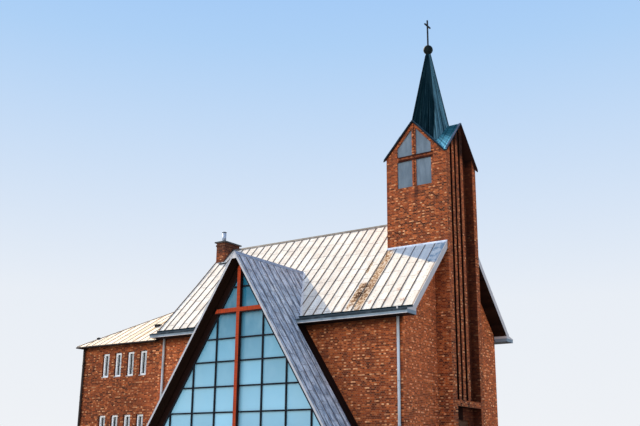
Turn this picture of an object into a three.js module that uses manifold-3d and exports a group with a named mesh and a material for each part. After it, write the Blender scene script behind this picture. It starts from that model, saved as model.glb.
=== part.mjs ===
// A brick parish church: a steep nave, a gabled tower with an octagonal spire at the front,
// an A-frame transept on each long side and a lower two-storey wing behind.
// Units are millimetres, +Z is up. X runs along the nave, towards the tower; Y runs across it.
// Until the last lines x = 0 is the tower's front face and y = 0 the nave's long axis.

import * as THREE from "three";
import { mergeVertices } from "three/addons/utils/BufferGeometryUtils.js";
import Module from "manifold-3d";

const wasm = await Module();
wasm.setup();

// Driving dimensions

const GAP = 0.3; // clearance between pieces that meet on a slope or inside a cut

const FLOOR_TOP = 300;
const WALL = 450;
const SIDES = [
  ["near", -1],
  ["far", 1],
];

const NAVE = {
  back: -16300,
  front: -800,
  halfWidth: 5200,
  roofBack: -16340,
  roofFront: -60,
  roofDepth: 360, // measured straight down
  eavesReach: 6050,
  eavesBottom: 7170,
  eavesTop: 7345,
};
// Half of the roof's outer line, from the ridge down to the eaves: distance from the axis, height.
const ROOF_LINE = [
  [0, 13320],
  [2400, 10740],
  [4500, 8560],
  [5000, 8050],
  [5500, 7500],
  [NAVE.eavesReach, 7380],
];
const GUTTER = { inner: 5480, outer: 5520, top: 7620 };
const RIDGE_CAP = { reach: 120, lift: 1, depth: 30 };

const TOWER = {
  width: 3550,
  wall: 380,
  back: -3550,
  overhang: 120,
  ridgeX: -1880, // the ridges cross a little off the tower's middle
  ridgeY: -60,
  roofApex: 18310,
  roofSlope: 1.1, // rise for each unit of run
  roofDepth: 80,
  recess: 450,
  recessWall: 300,
};
TOWER.half = TOWER.width / 2;
TOWER.centre = -TOWER.half;
const TOWER_WINDOW = {
  inner: 110,
  outer: 1020,
  sill: 14640,
  barBottom: 16120,
  barTop: 16390,
  underRoof: 210,
  panelInset: 80,
};
// The front's brick fins, as the start and end of each across the tower.
const FINS = [
  [-1395, -1300],
  [-1100, -820],
  [-650, -330],
  [-120, 190],
  [1365, 1395],
];
const ENTRANCE = { half: 900, height: 2400, lintelBottom: 3300, lintelTop: 3600 };
const SPIRE = { top: 22900, topRadius: 130, bottom: 16900, bottomRadius: 1430, skin: 60, sides: 8 };
const BALL = { height: 23200, radius: 270, neck: 100 };
const CROSS = { top: 25050, armHeight: 24700, armReach: 330, thick: 70 };

const FRAME = {
  centre: -8480,
  apex: 10640,
  spread: 0.638, // half width gained for each unit of drop
  front: 8360,
  roofThick: 100, // thicknesses are measured level
  liningThick: 400,
  glassFace: 7700,
  slabReach: 7970,
};
const GLAZING = {
  bar: 70,
  barFront: 7755,
  barBack: 7676,
  glassFront: 7675.7,
  glassBack: 7656,
  // Distance of each pair of uprights from the middle, and the height where it ends.
  uprights: [
    [1450, 7750],
    [2900, 5330],
    [4350, 2880],
  ],
  rails: [1650, 2880, 4110, 5320, 6440, 8960],
};
const BEAM = { half: 110, inset: 380, front: 7905, back: 7755.3, armBottom: 7640, armTop: 7900 };

const WING = {
  end: -22560,
  wall: 380,
  eaves: 7130,
  eavesBottom: 7055,
  reach: 400,
  endReach: 340,
  slope: 0.585,
  roofDepth: 200,
  floorBottom: 4100,
  floorTop: 4380,
};
const WINDOW = {
  centres: [-20660, -19645, -18630, -17615],
  width: 560,
  height: 1370,
  sills: { upper: 5280, lower: 1750 },
  inset: 110,
  frameDepth: 70,
  frameWidth: 60,
  paneDepth: 24,
  board: 30,
};

const CHIMNEY = {
  back: -16300,
  front: -15650,
  near: -850,
  far: 550,
  top: 13650,
  collarBottom: 13430,
  collarTop: 13530,
  collarReach: 35,
  capReach: 100,
  capTop: 13730,
};
const FLUE = { x: -16085, y: -420, radius: 115, top: 14390, hatRadius: 150, hatTop: 14455 };

const PIPE = { radius: 75, offset: 105, foot: 60, brackets: [1500, 3900, 6200], sides: 10 };

// Solids

function solidOf(geometry) {
  geometry.deleteAttribute("normal");
  geometry.deleteAttribute("uv");
  const merged = mergeVertices(geometry, 1e-3);
  return new wasm.Manifold(
    new wasm.Mesh({
      numProp: 3,
      vertProperties: new Float32Array(merged.attributes.position.array),
      triVerts: new Uint32Array(merged.index.array),
    }),
  );
}

function extruded(points, depth, across, up, along, origin) {
  const shape = new THREE.Shape(points.map(([u, v]) => new THREE.Vector2(u, v)));
  const geometry = new THREE.ExtrudeGeometry(shape, { depth, bevelEnabled: false });
  const matrix = new THREE.Matrix4().makeBasis(across, up, along).setPosition(origin);
  return solidOf(geometry.applyMatrix4(matrix));
}

const X = new THREE.Vector3(1, 0, 0);
const Y = new THREE.Vector3(0, 1, 0);
const Z = new THREE.Vector3(0, 0, 1);

// A [y, z] outline carried along X, and an [x, z] outline carried along Y.
const alongX = (points, x0, x1) => extruded(points, x1 - x0, Y, Z, X, new THREE.Vector3(x0, 0, 0));
const alongY = (points, y0, y1) =>
  extruded(points, Math.abs(y1 - y0), X, Z, Y.clone().negate(), new THREE.Vector3(0, Math.max(y0, y1), 0));

function block(x0, x1, y0, y1, z0, z1) {
  const geometry = new THREE.BoxGeometry(x1 - x0, Math.abs(y1 - y0), z1 - z0);
  return solidOf(geometry.translate((x0 + x1) / 2, (y0 + y1) / 2, (z0 + z1) / 2));
}

function upright(x, y, z0, z1, bottomRadius, topRadius, sides) {
  const geometry = new THREE.CylinderGeometry(topRadius, bottomRadius, z1 - z0, sides);
  geometry.rotateX(Math.PI / 2);
  return solidOf(geometry.translate(x, y, (z0 + z1) / 2));
}

const joined = (solids) => solids.reduce((sum, piece) => sum.add(piece));
const cut = (solid, cutters) => cutters.reduce((rest, cutter) => rest.subtract(cutter), solid);

// The scene

const church = new THREE.Group();

function material(color, roughness, metalness = 0) {
  return new THREE.MeshStandardMaterial({ color, roughness, metalness, flatShading: true });
}

const BRICK = material(0xa4492c, 0.9);
const CONCRETE = material(0x9a968e, 0.95);
const ROOF_METAL = material(0xd9d5cb, 0.5, 0.6);
const EAVES_PAINT = material(0xa9b9c4, 0.6);
const PIPE_METAL = material(0x9fb0b8, 0.5, 0.6);
const DARK_LINING = material(0x2a1a14, 0.85);
const FRAME_RED = material(0xb2401f, 0.6);
const FRAME_DARK = material(0x1d1f22, 0.5);
const GLASS = material(0x6f97a6, 0.15);
const TOWER_METAL = material(0x1f4750, 0.5, 0.5);
const CROSS_METAL = material(0x15181a, 0.5, 0.6);
const PANEL = material(0x6d7d88, 0.6);
const WHITE_FRAME = material(0xe9e9e4, 0.5);
const CHIMNEY_CAP = material(0x3a3836, 0.9);
const STEEL = material(0xb9c0c4, 0.35, 0.8);
const DOOR_WOOD = material(0x5a3320, 0.7);

function place(name, solid, surface) {
  const { vertProperties, triVerts } = solid.getMesh();
  const geometry = new THREE.BufferGeometry();
  geometry.setAttribute("position", new THREE.BufferAttribute(vertProperties, 3));
  geometry.setIndex(new THREE.BufferAttribute(triVerts, 1));
  geometry.computeVertexNormals();
  const mesh = new THREE.Mesh(geometry, surface);
  mesh.name = name;
  church.add(mesh);
}

// Shared outlines

const frameHalf = (z, inset) => FRAME.spread * (FRAME.apex - z) - inset;
const frameApex = (inset) => FRAME.apex - inset / FRAME.spread;

// The A-frame's triangle, its slopes moved in by inset, standing on the given height.
function frameTriangle(inset, bottom = -1) {
  const half = frameHalf(bottom, inset);
  return [
    [FRAME.centre - half, bottom],
    [FRAME.centre + half, bottom],
    [FRAME.centre, frameApex(inset)],
  ];
}

// The nave's cross-section under a roof line lowered by drop, out to reach from the axis.
function naveOutline(drop, reach, bottom) {
  const line = ROOF_LINE.filter(([y]) => y < reach).map(([y, z]) => [y, z - drop]);
  line.push([reach, roofHeight(reach) - drop]);
  const mirrored = line.slice(1).map(([y, z]) => [-y, z]);
  return [...mirrored.reverse(), ...line, [reach, bottom], [-reach, bottom]];
}

function roofHeight(y) {
  const last = ROOF_LINE.length - 1;
  const found = ROOF_LINE.findIndex(([reach]) => reach >= y);
  const i = found < 0 ? last : Math.max(1, found);
  const [y0, z0] = ROOF_LINE[i - 1];
  const [y1, z1] = ROOF_LINE[i];
  return z0 + ((z1 - z0) * (y - y0)) / (y1 - y0);
}

// Everything under the tower's cross-gabled roof, its slopes lowered by drop.
function underTowerRoof(drop, reach = 4000) {
  const apex = TOWER.roofApex - drop;
  const foot = apex - TOWER.roofSlope * reach;
  const gable = (centre) => [
    [centre - reach, foot],
    [centre - reach, -10],
    [centre + reach, -10],
    [centre + reach, foot],
    [centre, apex],
  ];
  const ridgeAlongY = alongY(gable(TOWER.ridgeX), -reach, reach);
  const ridgeAlongX = alongX(gable(TOWER.ridgeY), TOWER.centre - reach, TOWER.centre + reach);
  return ridgeAlongY.add(ridgeAlongX);
}

const FRAME_OPENING = Object.fromEntries(
  SIDES.map(([name, side]) => [name, alongY(frameTriangle(FRAME.roofThick), side * 9000, side * 10)]),
);
const TOWER_SHAFT = block(
  TOWER.back - GAP, 500, -TOWER.half - GAP, TOWER.half + GAP, -10, TOWER.roofApex + 5000,
);
const NAVE_OUTSIDE = joined([
  alongX(naveOutline(-0.5, NAVE.eavesReach + GAP, -10), -30000, 5000),
]);
const NAVE_INSIDE = alongX(
  naveOutline(NAVE.roofDepth, NAVE.halfWidth - WALL, -10), NAVE.back + WALL, NAVE.front - WALL,
);

// Ground floor: one slab under the whole building, its edge showing as a low plinth

function groundSlab() {
  const frameEdge = frameHalf(FLOOR_TOP, FRAME.roofThick) - GAP;
  return joined([
    block(WING.end, NAVE.front, -NAVE.halfWidth, NAVE.halfWidth, 0, FLOOR_TOP),
    block(TOWER.back, 0, -TOWER.half, TOWER.half, 0, FLOOR_TOP),
    block(
      FRAME.centre - frameEdge, FRAME.centre + frameEdge,
      -FRAME.slabReach, FRAME.slabReach, 0, FLOOR_TOP,
    ),
  ]);
}

place("ground_floor_slab", groundSlab(), CONCRETE);

// Nave walls: the long walls stop at the A-frame's slopes, the gable walls at the tower

function naveLongWall(side) {
  const inner = NAVE.halfWidth - WALL;
  return alongX(
    [
      [side * NAVE.halfWidth, FLOOR_TOP],
      [side * inner, FLOOR_TOP],
      [side * inner, roofHeight(inner) - NAVE.roofDepth - GAP],
      [side * NAVE.halfWidth, roofHeight(NAVE.halfWidth) - NAVE.roofDepth - GAP],
    ],
    NAVE.back + WALL + GAP,
    NAVE.front - WALL - GAP,
  );
}

function gableWall(x0, x1) {
  return alongX(naveOutline(NAVE.roofDepth + GAP, NAVE.halfWidth, FLOOR_TOP), x0, x1);
}

for (const [name, side] of SIDES) {
  const wall = naveLongWall(side).subtract(FRAME_OPENING[name]);
  for (const piece of wall.decompose()) {
    const end = piece.boundingBox().max[0] < FRAME.centre ? "back" : "front";
    place(`nave_wall_${name}_${end}`, piece, BRICK);
  }
}

place("nave_back_wall", gableWall(NAVE.back, NAVE.back + WALL), BRICK);

for (const piece of cut(gableWall(NAVE.front - WALL, NAVE.front), [TOWER_SHAFT]).decompose()) {
  const name = piece.boundingBox().max[1] < 0 ? "near" : "far";
  place(`nave_front_wall_${name}`, piece, BRICK);
}

// Nave roof: a slope each side with its lying gutter, boxed eaves below and a cap on the ridge

function naveRoofSlope(name, side) {
  const outer = ROOF_LINE.map(([y, z]) => [side * Math.max(y, GAP / 2), z]);
  const wallFace = NAVE.halfWidth;
  const inner = ROOF_LINE.filter(([y]) => y < wallFace).map(([y, z]) => [
    side * Math.max(y, GAP / 2),
    z - NAVE.roofDepth,
  ]);
  const underside = [
    [side * NAVE.eavesReach, NAVE.eavesTop],
    [side * wallFace, NAVE.eavesTop],
    [side * wallFace, roofHeight(wallFace) - NAVE.roofDepth],
    ...inner.reverse(),
  ];
  const slope = alongX([...outer, ...underside], NAVE.roofBack, NAVE.roofFront);
  const gutter = block(
    NAVE.roofBack, NAVE.roofFront, side * GUTTER.inner, side * GUTTER.outer,
    NAVE.eavesTop + 20, GUTTER.top,
  );
  const overFrame = alongY(frameTriangle(-GAP), side * 9000, side * 10);
  return cut(slope, [TOWER_SHAFT, FRAME_OPENING[name]]).add(
    gutter.subtract(overFrame).subtract(alongX(naveOutline(20, 5600, -10), -30000, 5000)),
  );
}

for (const [name, side] of SIDES) {
  place(`nave_roof_${name}`, naveRoofSlope(name, side), ROOF_METAL);
}

function ridgeCapOutline(centre, apex, slope) {
  const { reach, lift, depth } = RIDGE_CAP;
  const bottom = apex + lift;
  return [
    [centre - reach, bottom - slope * reach],
    [centre, bottom],
    [centre + reach, bottom - slope * reach],
    [centre + reach, bottom + depth - slope * reach],
    [centre, bottom + depth],
    [centre - reach, bottom + depth - slope * reach],
  ];
}

const naveSlope = (ROOF_LINE[0][1] - ROOF_LINE[1][1]) / ROOF_LINE[1][0];
place(
  "nave_ridge_cap",
  alongX(
    ridgeCapOutline(0, ROOF_LINE[0][1], naveSlope),
    CHIMNEY.front + GAP,
    TOWER.back - GAP,
  ),
  ROOF_METAL,
);

for (const [name, side] of SIDES) {
  const box = block(
    NAVE.roofBack, NAVE.roofFront, side * (NAVE.halfWidth + GAP), side * NAVE.eavesReach,
    NAVE.eavesBottom, NAVE.eavesTop - GAP,
  );
  for (const piece of box.subtract(FRAME_OPENING[name]).decompose()) {
    const end = piece.boundingBox().max[0] < FRAME.centre ? "back" : "front";
    place(`nave_eaves_${name}_${end}`, piece, EAVES_PAINT);
  }
}

// A-frame transepts: two metal slopes down to the ground on a dark lining, with a glazed front

function frameSlope(direction, fromInset, toInset, bottom) {
  const middle = FRAME.centre + (direction * GAP) / 2;
  const outer = frameHalf(bottom, fromInset);
  const inner = frameHalf(bottom, toInset);
  return [
    [middle, frameApex(fromInset)],
    [FRAME.centre + direction * outer, bottom],
    [FRAME.centre + direction * inner, bottom],
    [middle, frameApex(toInset)],
  ];
}

function frameGrid(side) {
  const inset = FRAME.roofThick + FRAME.liningThick + 2;
  const bottom = FLOOR_TOP + GAP;
  const [y0, y1] = [side * GLAZING.barFront, side * GLAZING.barBack];
  const field = alongY(frameTriangle(inset, bottom), y0, y1);
  const light = alongY(
    frameTriangle(inset + GLAZING.bar, bottom + GLAZING.bar), y0 + side * 50, y1 - side * 50,
  );
  const half = GLAZING.bar / 2;
  const wide = 7000;
  const bars = GLAZING.rails.map((z) =>
    block(FRAME.centre - wide, FRAME.centre + wide, y0, y1, z - half, z + half),
  );
  for (const [x, top] of GLAZING.uprights) {
    for (const direction of [-1, 1]) {
      const middle = FRAME.centre + direction * x;
      bars.push(block(middle - half, middle + half, y0, y1, bottom, top));
    }
  }
  return joined([field.subtract(light), joined(bars).intersect(field)]);
}

function frameCross(side) {
  const [y0, y1] = [side * BEAM.front, side * BEAM.back];
  const wide = 3000;
  const post = block(
    FRAME.centre - BEAM.half, FRAME.centre + BEAM.half, y0, y1, FLOOR_TOP, FRAME.apex,
  );
  const arm = block(FRAME.centre - wide, FRAME.centre + wide, y0, y1, BEAM.armBottom, BEAM.armTop);
  const field = alongY(frameTriangle(BEAM.inset, FLOOR_TOP), y0, y1);
  return post.add(arm).intersect(field);
}

for (const [name, side] of SIDES) {
  const inward = side * 10;
  const liningInset = FRAME.roofThick + GAP;
  const liningBack = liningInset + FRAME.liningThick;
  for (const [end, direction] of [["back", -1], ["front", 1]]) {
    const slope = alongY(frameSlope(direction, 0, FRAME.roofThick, 0), side * FRAME.front, inward);
    place(`transept_${name}_roof_${end}`, slope.subtract(NAVE_OUTSIDE), ROOF_METAL);
    const lining = alongY(
      frameSlope(direction, liningInset, liningBack, FLOOR_TOP), side * FRAME.glassFace, inward,
    );
    place(`transept_${name}_lining_${end}`, lining.subtract(NAVE_INSIDE), DARK_LINING);
  }
  const cap = alongY(
    ridgeCapOutline(FRAME.centre, FRAME.apex, 1 / FRAME.spread), side * FRAME.front, inward,
  );
  place(`transept_${name}_ridge_cap`, cap.subtract(NAVE_OUTSIDE), ROOF_METAL);
  const pane = frameTriangle(FRAME.roofThick + FRAME.liningThick + 2, FLOOR_TOP + GAP);
  place(
    `transept_${name}_glass`,
    alongY(pane, side * GLAZING.glassFront, side * GLAZING.glassBack),
    GLASS,
  );
  place(`transept_${name}_window_frame`, frameGrid(side), FRAME_DARK);
  place(`transept_${name}_cross`, frameCross(side), FRAME_RED);
}

// Tower walls, up to the underside of the cross-gabled roof

const UNDER_ROOF = underTowerRoof(TOWER.roofDepth + GAP);
const TOWER_TALL = TOWER.roofApex + 100;

// The four openings round the brick cross, as outlines across the wall.
function towerLights(inset) {
  const { inner, outer, sill, barBottom, barTop, underRoof } = TOWER_WINDOW;
  const top = (d) =>
    TOWER.roofApex - TOWER.roofDepth - underRoof - inset - TOWER.roofSlope * d;
  const lights = [];
  for (const direction of [-1, 1]) {
    const near = TOWER.ridgeX + direction * (inner + inset);
    const away = TOWER.ridgeX + direction * (outer - inset);
    lights.push([
      [near, sill + inset],
      [away, sill + inset],
      [away, barBottom - inset],
      [near, barBottom - inset],
    ]);
    lights.push([
      [near, barTop + inset],
      [away, barTop + inset],
      [away, top(outer - inset)],
      [near, top(inner + inset)],
    ]);
  }
  return lights;
}

function towerSideWall(side) {
  const outer = side * TOWER.half;
  const inner = side * (TOWER.half - TOWER.wall);
  const wall = block(TOWER.back, 0, outer, inner, FLOOR_TOP, TOWER_TALL).intersect(UNDER_ROOF);
  return cut(wall, towerLights(0).map((light) => alongY(light, side * 2500, side * 500)));
}

function towerPanel(side) {
  const front = side * (TOWER.half - TOWER_WINDOW.panelInset);
  const inside = side * (TOWER.half - TOWER.wall - GAP);
  const behind = side * (TOWER.half - TOWER.wall - 30);
  const pads = towerLights(GAP).map((light) => alongY(light, front, behind));
  const { outer, sill } = TOWER_WINDOW;
  const board = block(
    TOWER.ridgeX - outer - 20, TOWER.ridgeX + outer + 20, inside, behind, sill - 60, TOWER_TALL,
  );
  return joined([...pads, board.intersect(underTowerRoof(TOWER.roofDepth + 20))]);
}

function towerFront() {
  const reach = TOWER.half - TOWER.wall - GAP;
  const back = -TOWER.recess - TOWER.recessWall;
  const plate = block(back, -TOWER.recess, -reach, reach, FLOOR_TOP, TOWER_TALL);
  const lintel = block(
    -TOWER.recess - 1, 0, -reach, reach, ENTRANCE.lintelBottom, ENTRANCE.lintelTop,
  );
  const fins = FINS.map(([y0, y1]) => {
    const foot = Math.max(Math.abs(y0), Math.abs(y1)) > 1390 ? FLOOR_TOP : ENTRANCE.lintelTop - 1;
    return block(
      -TOWER.recess - 1, 0, Math.max(y0, -reach), Math.min(y1, reach), foot, TOWER_TALL,
    );
  });
  const doorway = block(
    back - 10, -TOWER.recess + 10, -ENTRANCE.half, ENTRANCE.half,
    FLOOR_TOP - 10, FLOOR_TOP + ENTRANCE.height,
  );
  return joined([plate, lintel, ...fins]).intersect(UNDER_ROOF).subtract(doorway);
}

function towerBack() {
  const reach = TOWER.half - TOWER.wall - GAP;
  const inner = TOWER.back + TOWER.wall;
  const wall = block(TOWER.back, inner, -reach, reach, FLOOR_TOP, TOWER_TALL);
  const doorway = block(
    TOWER.back - 10, inner + 10, -ENTRANCE.half, ENTRANCE.half,
    FLOOR_TOP - 10, FLOOR_TOP + ENTRANCE.height,
  );
  return wall.intersect(UNDER_ROOF).subtract(doorway);
}

for (const [name, side] of SIDES) {
  place(`tower_wall_${name}`, towerSideWall(side), BRICK);
  place(`tower_window_panel_${name}`, towerPanel(side), PANEL);
}
place("tower_wall_front", towerFront(), BRICK);
place("tower_wall_back", towerBack(), BRICK);

// Double entrance door, closed in its opening

function entranceDoor() {
  const face = -TOWER.recess - 120;
  const half = ENTRANCE.half - GAP;
  const top = FLOOR_TOP + ENTRANCE.height - GAP;
  const casing = block(face - 90, face, -half, half, FLOOR_TOP, top);
  const leaf = (y0, y1) => block(face - 10, face + 25, y0, y1, FLOOR_TOP + 40, top - 70);
  return joined([casing, leaf(-half + 70, -6), leaf(6, half - 70)]);
}

place("entrance_door", entranceDoor(), DOOR_WOOD);

// Tower roof, spire, ball and cross

function towerRoof() {
  const reach = TOWER.half + TOWER.overhang;
  const body = block(
    TOWER.centre - reach, TOWER.centre + reach, -reach, reach, 15000, TOWER_TALL,
  );
  return body.intersect(underTowerRoof(0)).subtract(underTowerRoof(TOWER.roofDepth));
}

function spire() {
  const { top, topRadius, bottom, bottomRadius, skin, sides } = SPIRE;
  const cone = upright(TOWER.centre, 0, bottom, top, bottomRadius, topRadius, sides);
  const hollow = upright(
    TOWER.centre, 0, bottom - 10, top - 250, bottomRadius - skin, topRadius - skin + 44, sides,
  );
  return cone.subtract(hollow).subtract(underTowerRoof(-0.5));
}

function ballAndNeck() {
  const sphere = new THREE.SphereGeometry(BALL.radius, 20, 12);
  sphere.rotateX(Math.PI / 2);
  const ball = solidOf(sphere.translate(TOWER.centre, 0, BALL.height));
  const neck = upright(
    TOWER.centre, 0, SPIRE.top + GAP, BALL.height, BALL.neck, BALL.neck, SPIRE.sides,
  );
  return ball.add(neck);
}

function spireCross() {
  const half = CROSS.thick / 2;
  const { centre } = TOWER;
  const foot = BALL.height + BALL.radius + GAP;
  const rod = block(centre - half, centre + half, -half, half, foot, CROSS.top);
  const arm = block(
    centre - half, centre + half, -CROSS.armReach, CROSS.armReach,
    CROSS.armHeight - half, CROSS.armHeight + half,
  );
  return rod.add(arm);
}

place("tower_roof", towerRoof(), TOWER_METAL);
place("tower_spire", spire(), TOWER_METAL);
place("spire_ball", ballAndNeck(), TOWER_METAL);
place("spire_cross", spireCross(), CROSS_METAL);

// Chimney at the nave's back end: brick stack, concrete cap and steel flue

function chimneyStack() {
  const { back, front, near, far, top, collarReach } = CHIMNEY;
  const stack = block(back, front, near, far, 11000, top);
  const collar = block(
    back - collarReach, front + collarReach, near - collarReach, far + collarReach,
    CHIMNEY.collarBottom, CHIMNEY.collarTop,
  );
  return stack.add(collar).subtract(NAVE_OUTSIDE);
}

function chimneyFlue() {
  const { x, y, radius, top, hatRadius, hatTop } = FLUE;
  const pipe = upright(x, y, CHIMNEY.capTop + GAP, top, radius, radius, 16);
  return pipe.add(upright(x, y, top - 1, hatTop, hatRadius, hatRadius, 16));
}

const capReach = CHIMNEY.capReach;
place("chimney_stack", chimneyStack(), BRICK);
place(
  "chimney_cap",
  block(
    CHIMNEY.back - capReach, CHIMNEY.front + capReach,
    CHIMNEY.near - capReach, CHIMNEY.far + capReach, CHIMNEY.top, CHIMNEY.capTop,
  ),
  CHIMNEY_CAP,
);
place("chimney_flue", chimneyFlue(), STEEL);

// Wing: two storeys under a low hipped roof that ends against the nave's back wall

const wingEaves = NAVE.halfWidth + WING.reach;
const wingFront = NAVE.back - GAP;

function underWingRoof(drop) {
  const rise = WING.slope;
  const edge = WING.eaves - drop;
  const across = [
    [-wingEaves, -10],
    [wingEaves, -10],
    [wingEaves, edge],
    [0, edge + rise * wingEaves],
    [-wingEaves, edge],
  ];
  const start = WING.end - WING.endReach;
  const along = [
    [start, -10],
    [wingFront + 100, -10],
    [wingFront + 100, edge + rise * (wingFront + 100 - start)],
    [start, edge],
  ];
  return alongX(across, start, wingFront + 100).intersect(alongY(along, -6000, 6000));
}

function wingRoof() {
  const keep = block(WING.end - 500, wingFront, -6000, 6000, WING.eavesBottom, 12000);
  const naveEnd = alongX(
    naveOutline(-0.5, NAVE.eavesReach + GAP, NAVE.eavesBottom - 100), NAVE.roofBack - GAP, 0,
  );
  return underWingRoof(0).intersect(keep).subtract(underWingRoof(WING.roofDepth)).subtract(naveEnd);
}

const UNDER_WING_ROOF = underWingRoof(WING.roofDepth + GAP);

function windowOpenings(side) {
  const openings = [];
  for (const sill of Object.values(WINDOW.sills)) {
    for (const x of WINDOW.centres) {
      openings.push(
        block(
          x - WINDOW.width / 2, x + WINDOW.width / 2,
          side * (NAVE.halfWidth - WING.wall - 20), side * (NAVE.halfWidth + 20),
          sill, sill + WINDOW.height,
        ),
      );
    }
  }
  return openings;
}

function wingSideWall(side) {
  const wall = block(
    WING.end, wingFront, side * NAVE.halfWidth, side * (NAVE.halfWidth - WING.wall),
    FLOOR_TOP, 9000,
  );
  return cut(wall.intersect(UNDER_WING_ROOF), windowOpenings(side));
}

// Four framed panes of one row, carried by a board along the inside of the wall.
function windowRow(side, sill) {
  const { width, height, inset, frameDepth, frameWidth, paneDepth, board } = WINDOW;
  const face = NAVE.halfWidth - inset;
  const inside = NAVE.halfWidth - WING.wall - GAP;
  const pieces = [];
  for (const x of WINDOW.centres) {
    const left = x - width / 2 + GAP;
    const right = x + width / 2 - GAP;
    const bottom = sill + GAP;
    const top = sill + height - GAP;
    const frame = block(left, right, side * face, side * (face - frameDepth), bottom, top);
    const pane = block(
      left + frameWidth, right - frameWidth, side * (face + 5), side * (face - paneDepth),
      bottom + frameWidth, top - frameWidth,
    );
    const shelf = block(left, right, side * face, side * (inside - 5), bottom, bottom + board);
    pieces.push(frame.subtract(pane), shelf);
  }
  const { centres } = WINDOW;
  const reach = width / 2 + 60;
  pieces.push(
    block(
      centres[0] - reach, centres[centres.length - 1] + reach,
      side * inside, side * (inside - 120), sill + GAP, sill + GAP + board,
    ),
  );
  return joined(pieces);
}

for (const [name, side] of SIDES) {
  place(`wing_wall_${name}`, wingSideWall(side), BRICK);
  for (const [storey, sill] of Object.entries(WINDOW.sills)) {
    place(`wing_windows_${name}_${storey}`, windowRow(side, sill), WHITE_FRAME);
  }
}

const wingInside = NAVE.halfWidth - WING.wall - GAP;
place(
  "wing_wall_end",
  block(WING.end, WING.end + WING.wall, -wingInside, wingInside, FLOOR_TOP, 9000).intersect(
    UNDER_WING_ROOF,
  ),
  BRICK,
);
place(
  "wing_upper_floor",
  block(
    WING.end + WING.wall + GAP, wingFront, -wingInside, wingInside,
    WING.floorBottom, WING.floorTop,
  ),
  CONCRETE,
);
place("wing_roof", wingRoof(), ROOF_METAL);

// Downpipes, held off the walls by short brackets

function downpipe(x, side, top) {
  const y = side * (NAVE.halfWidth + PIPE.offset);
  const { radius, sides } = PIPE;
  const pipe = upright(x, y, PIPE.foot, top - GAP, radius, radius, sides);
  const brackets = PIPE.brackets.map((z) =>
    block(x - 20, x + 20, side * (NAVE.halfWidth + GAP), y, z - 25, z + 25),
  );
  return joined([pipe, ...brackets]);
}

for (const [name, side] of SIDES) {
  place(`downpipe_nave_front_${name}`, downpipe(-980, side, NAVE.eavesBottom), PIPE_METAL);
  place(`downpipe_nave_back_${name}`, downpipe(-15930, side, NAVE.eavesBottom), PIPE_METAL);
  place(`downpipe_wing_${name}`, downpipe(-22470, side, WING.eavesBottom), PIPE_METAL);
}

// The church stands with the middle of its footprint over the origin
const rightEdge = TOWER.overhang;
const leftEdge = WING.end - WING.endReach;
church.position.x = -(leftEdge + rightEdge) / 2;

export default church;
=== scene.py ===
"""The church's looks: materials, roof seams, flashings, window and door detail, light and camera.

Lengths are metres in the CAD part's frame. The nave runs along X with the tower at the +X end.
The near side is at -Y and the far side repeats it.
"""

import math

import bmesh
import bpy
from mathutils import Matrix, Vector


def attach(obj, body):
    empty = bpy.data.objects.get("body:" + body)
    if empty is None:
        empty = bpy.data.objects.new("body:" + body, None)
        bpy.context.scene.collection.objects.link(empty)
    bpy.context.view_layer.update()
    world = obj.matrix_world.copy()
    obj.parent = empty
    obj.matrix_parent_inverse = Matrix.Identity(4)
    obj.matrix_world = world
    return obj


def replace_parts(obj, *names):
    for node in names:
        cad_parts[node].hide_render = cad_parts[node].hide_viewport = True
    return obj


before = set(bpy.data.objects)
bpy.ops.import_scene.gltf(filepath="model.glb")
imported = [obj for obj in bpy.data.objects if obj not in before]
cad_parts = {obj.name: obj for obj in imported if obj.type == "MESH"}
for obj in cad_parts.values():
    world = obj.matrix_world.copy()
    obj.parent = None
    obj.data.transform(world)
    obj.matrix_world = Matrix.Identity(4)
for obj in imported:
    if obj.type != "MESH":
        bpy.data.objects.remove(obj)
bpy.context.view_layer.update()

# Main sizes, as in the CAD part

SHIFT = 11.39  # from the tower's front face to the middle of the footprint
NAVE_BACK, NAVE_FRONT = -16.34 + SHIFT, -0.06 + SHIFT
ROOF_LINE = [(0, 13.32), (2.4, 10.74), (4.5, 8.56), (5.0, 8.05), (5.5, 7.5), (6.05, 7.38)]
GUTTER_Y, APRON_Y, EAVES_Y = 5.48, 5.53, 6.05
WALL_Y = 5.2
FRAME_X = -8.48 + SHIFT
FRAME_APEX = 10.64
FRAME_SPREAD = 0.638
FRAME_FRONT = 8.36
TOWER_X0, TOWER_X1, TOWER_Y = -3.55 + SHIFT, SHIFT, 1.775
TOWER_XC = (TOWER_X0 + TOWER_X1) / 2
RIDGE_X, RIDGE_Y = -1.88 + SHIFT, -0.06  # where the tower's two ridges cross
TOWER_APEX, TOWER_SLOPE, TOWER_OVERHANG = 18.31, 1.1, 0.12
NICHE_BACK, NICHE_HALF = 10.92, 1.396  # the niche in the tower's front
FIN_GAPS = ((-1.3, -1.1), (-0.82, -0.65), (-0.33, -0.12))  # across the tower, between its fins
WINDOW_ARM_Z, WINDOW_POST_HALF, WINDOW_FOOT = 16.255, 0.112, 14.65  # the tower's window cross
WING_X0 = -22.9 + SHIFT
WING_EAVES_Y, WING_EAVES_Z, WING_SLOPE = 5.6, 7.13, 0.585
WING_RIDGE_Z = WING_EAVES_Z + WING_SLOPE * WING_EAVES_Y

# Sheet metal, bricks and boards

SEAM_PITCH, SEAM_X = 0.562, 5.6
FRAME_SEAM_PITCH, FRAME_SEAM_Y = 0.56, FRAME_FRONT - 0.25
SEAM_H, SEAM_W = 0.024, 0.014
LAP_PITCH = 0.86  # between the sheets' level joints
COURSE, BRICK_LENGTH = 0.077, 0.26
BOARD_WIDTH = 0.12
GLASS_PANE = (1.45, 1.22)
RIB_PITCH = 0.075

# Stains and a painted shadow on the near nave slope

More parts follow.
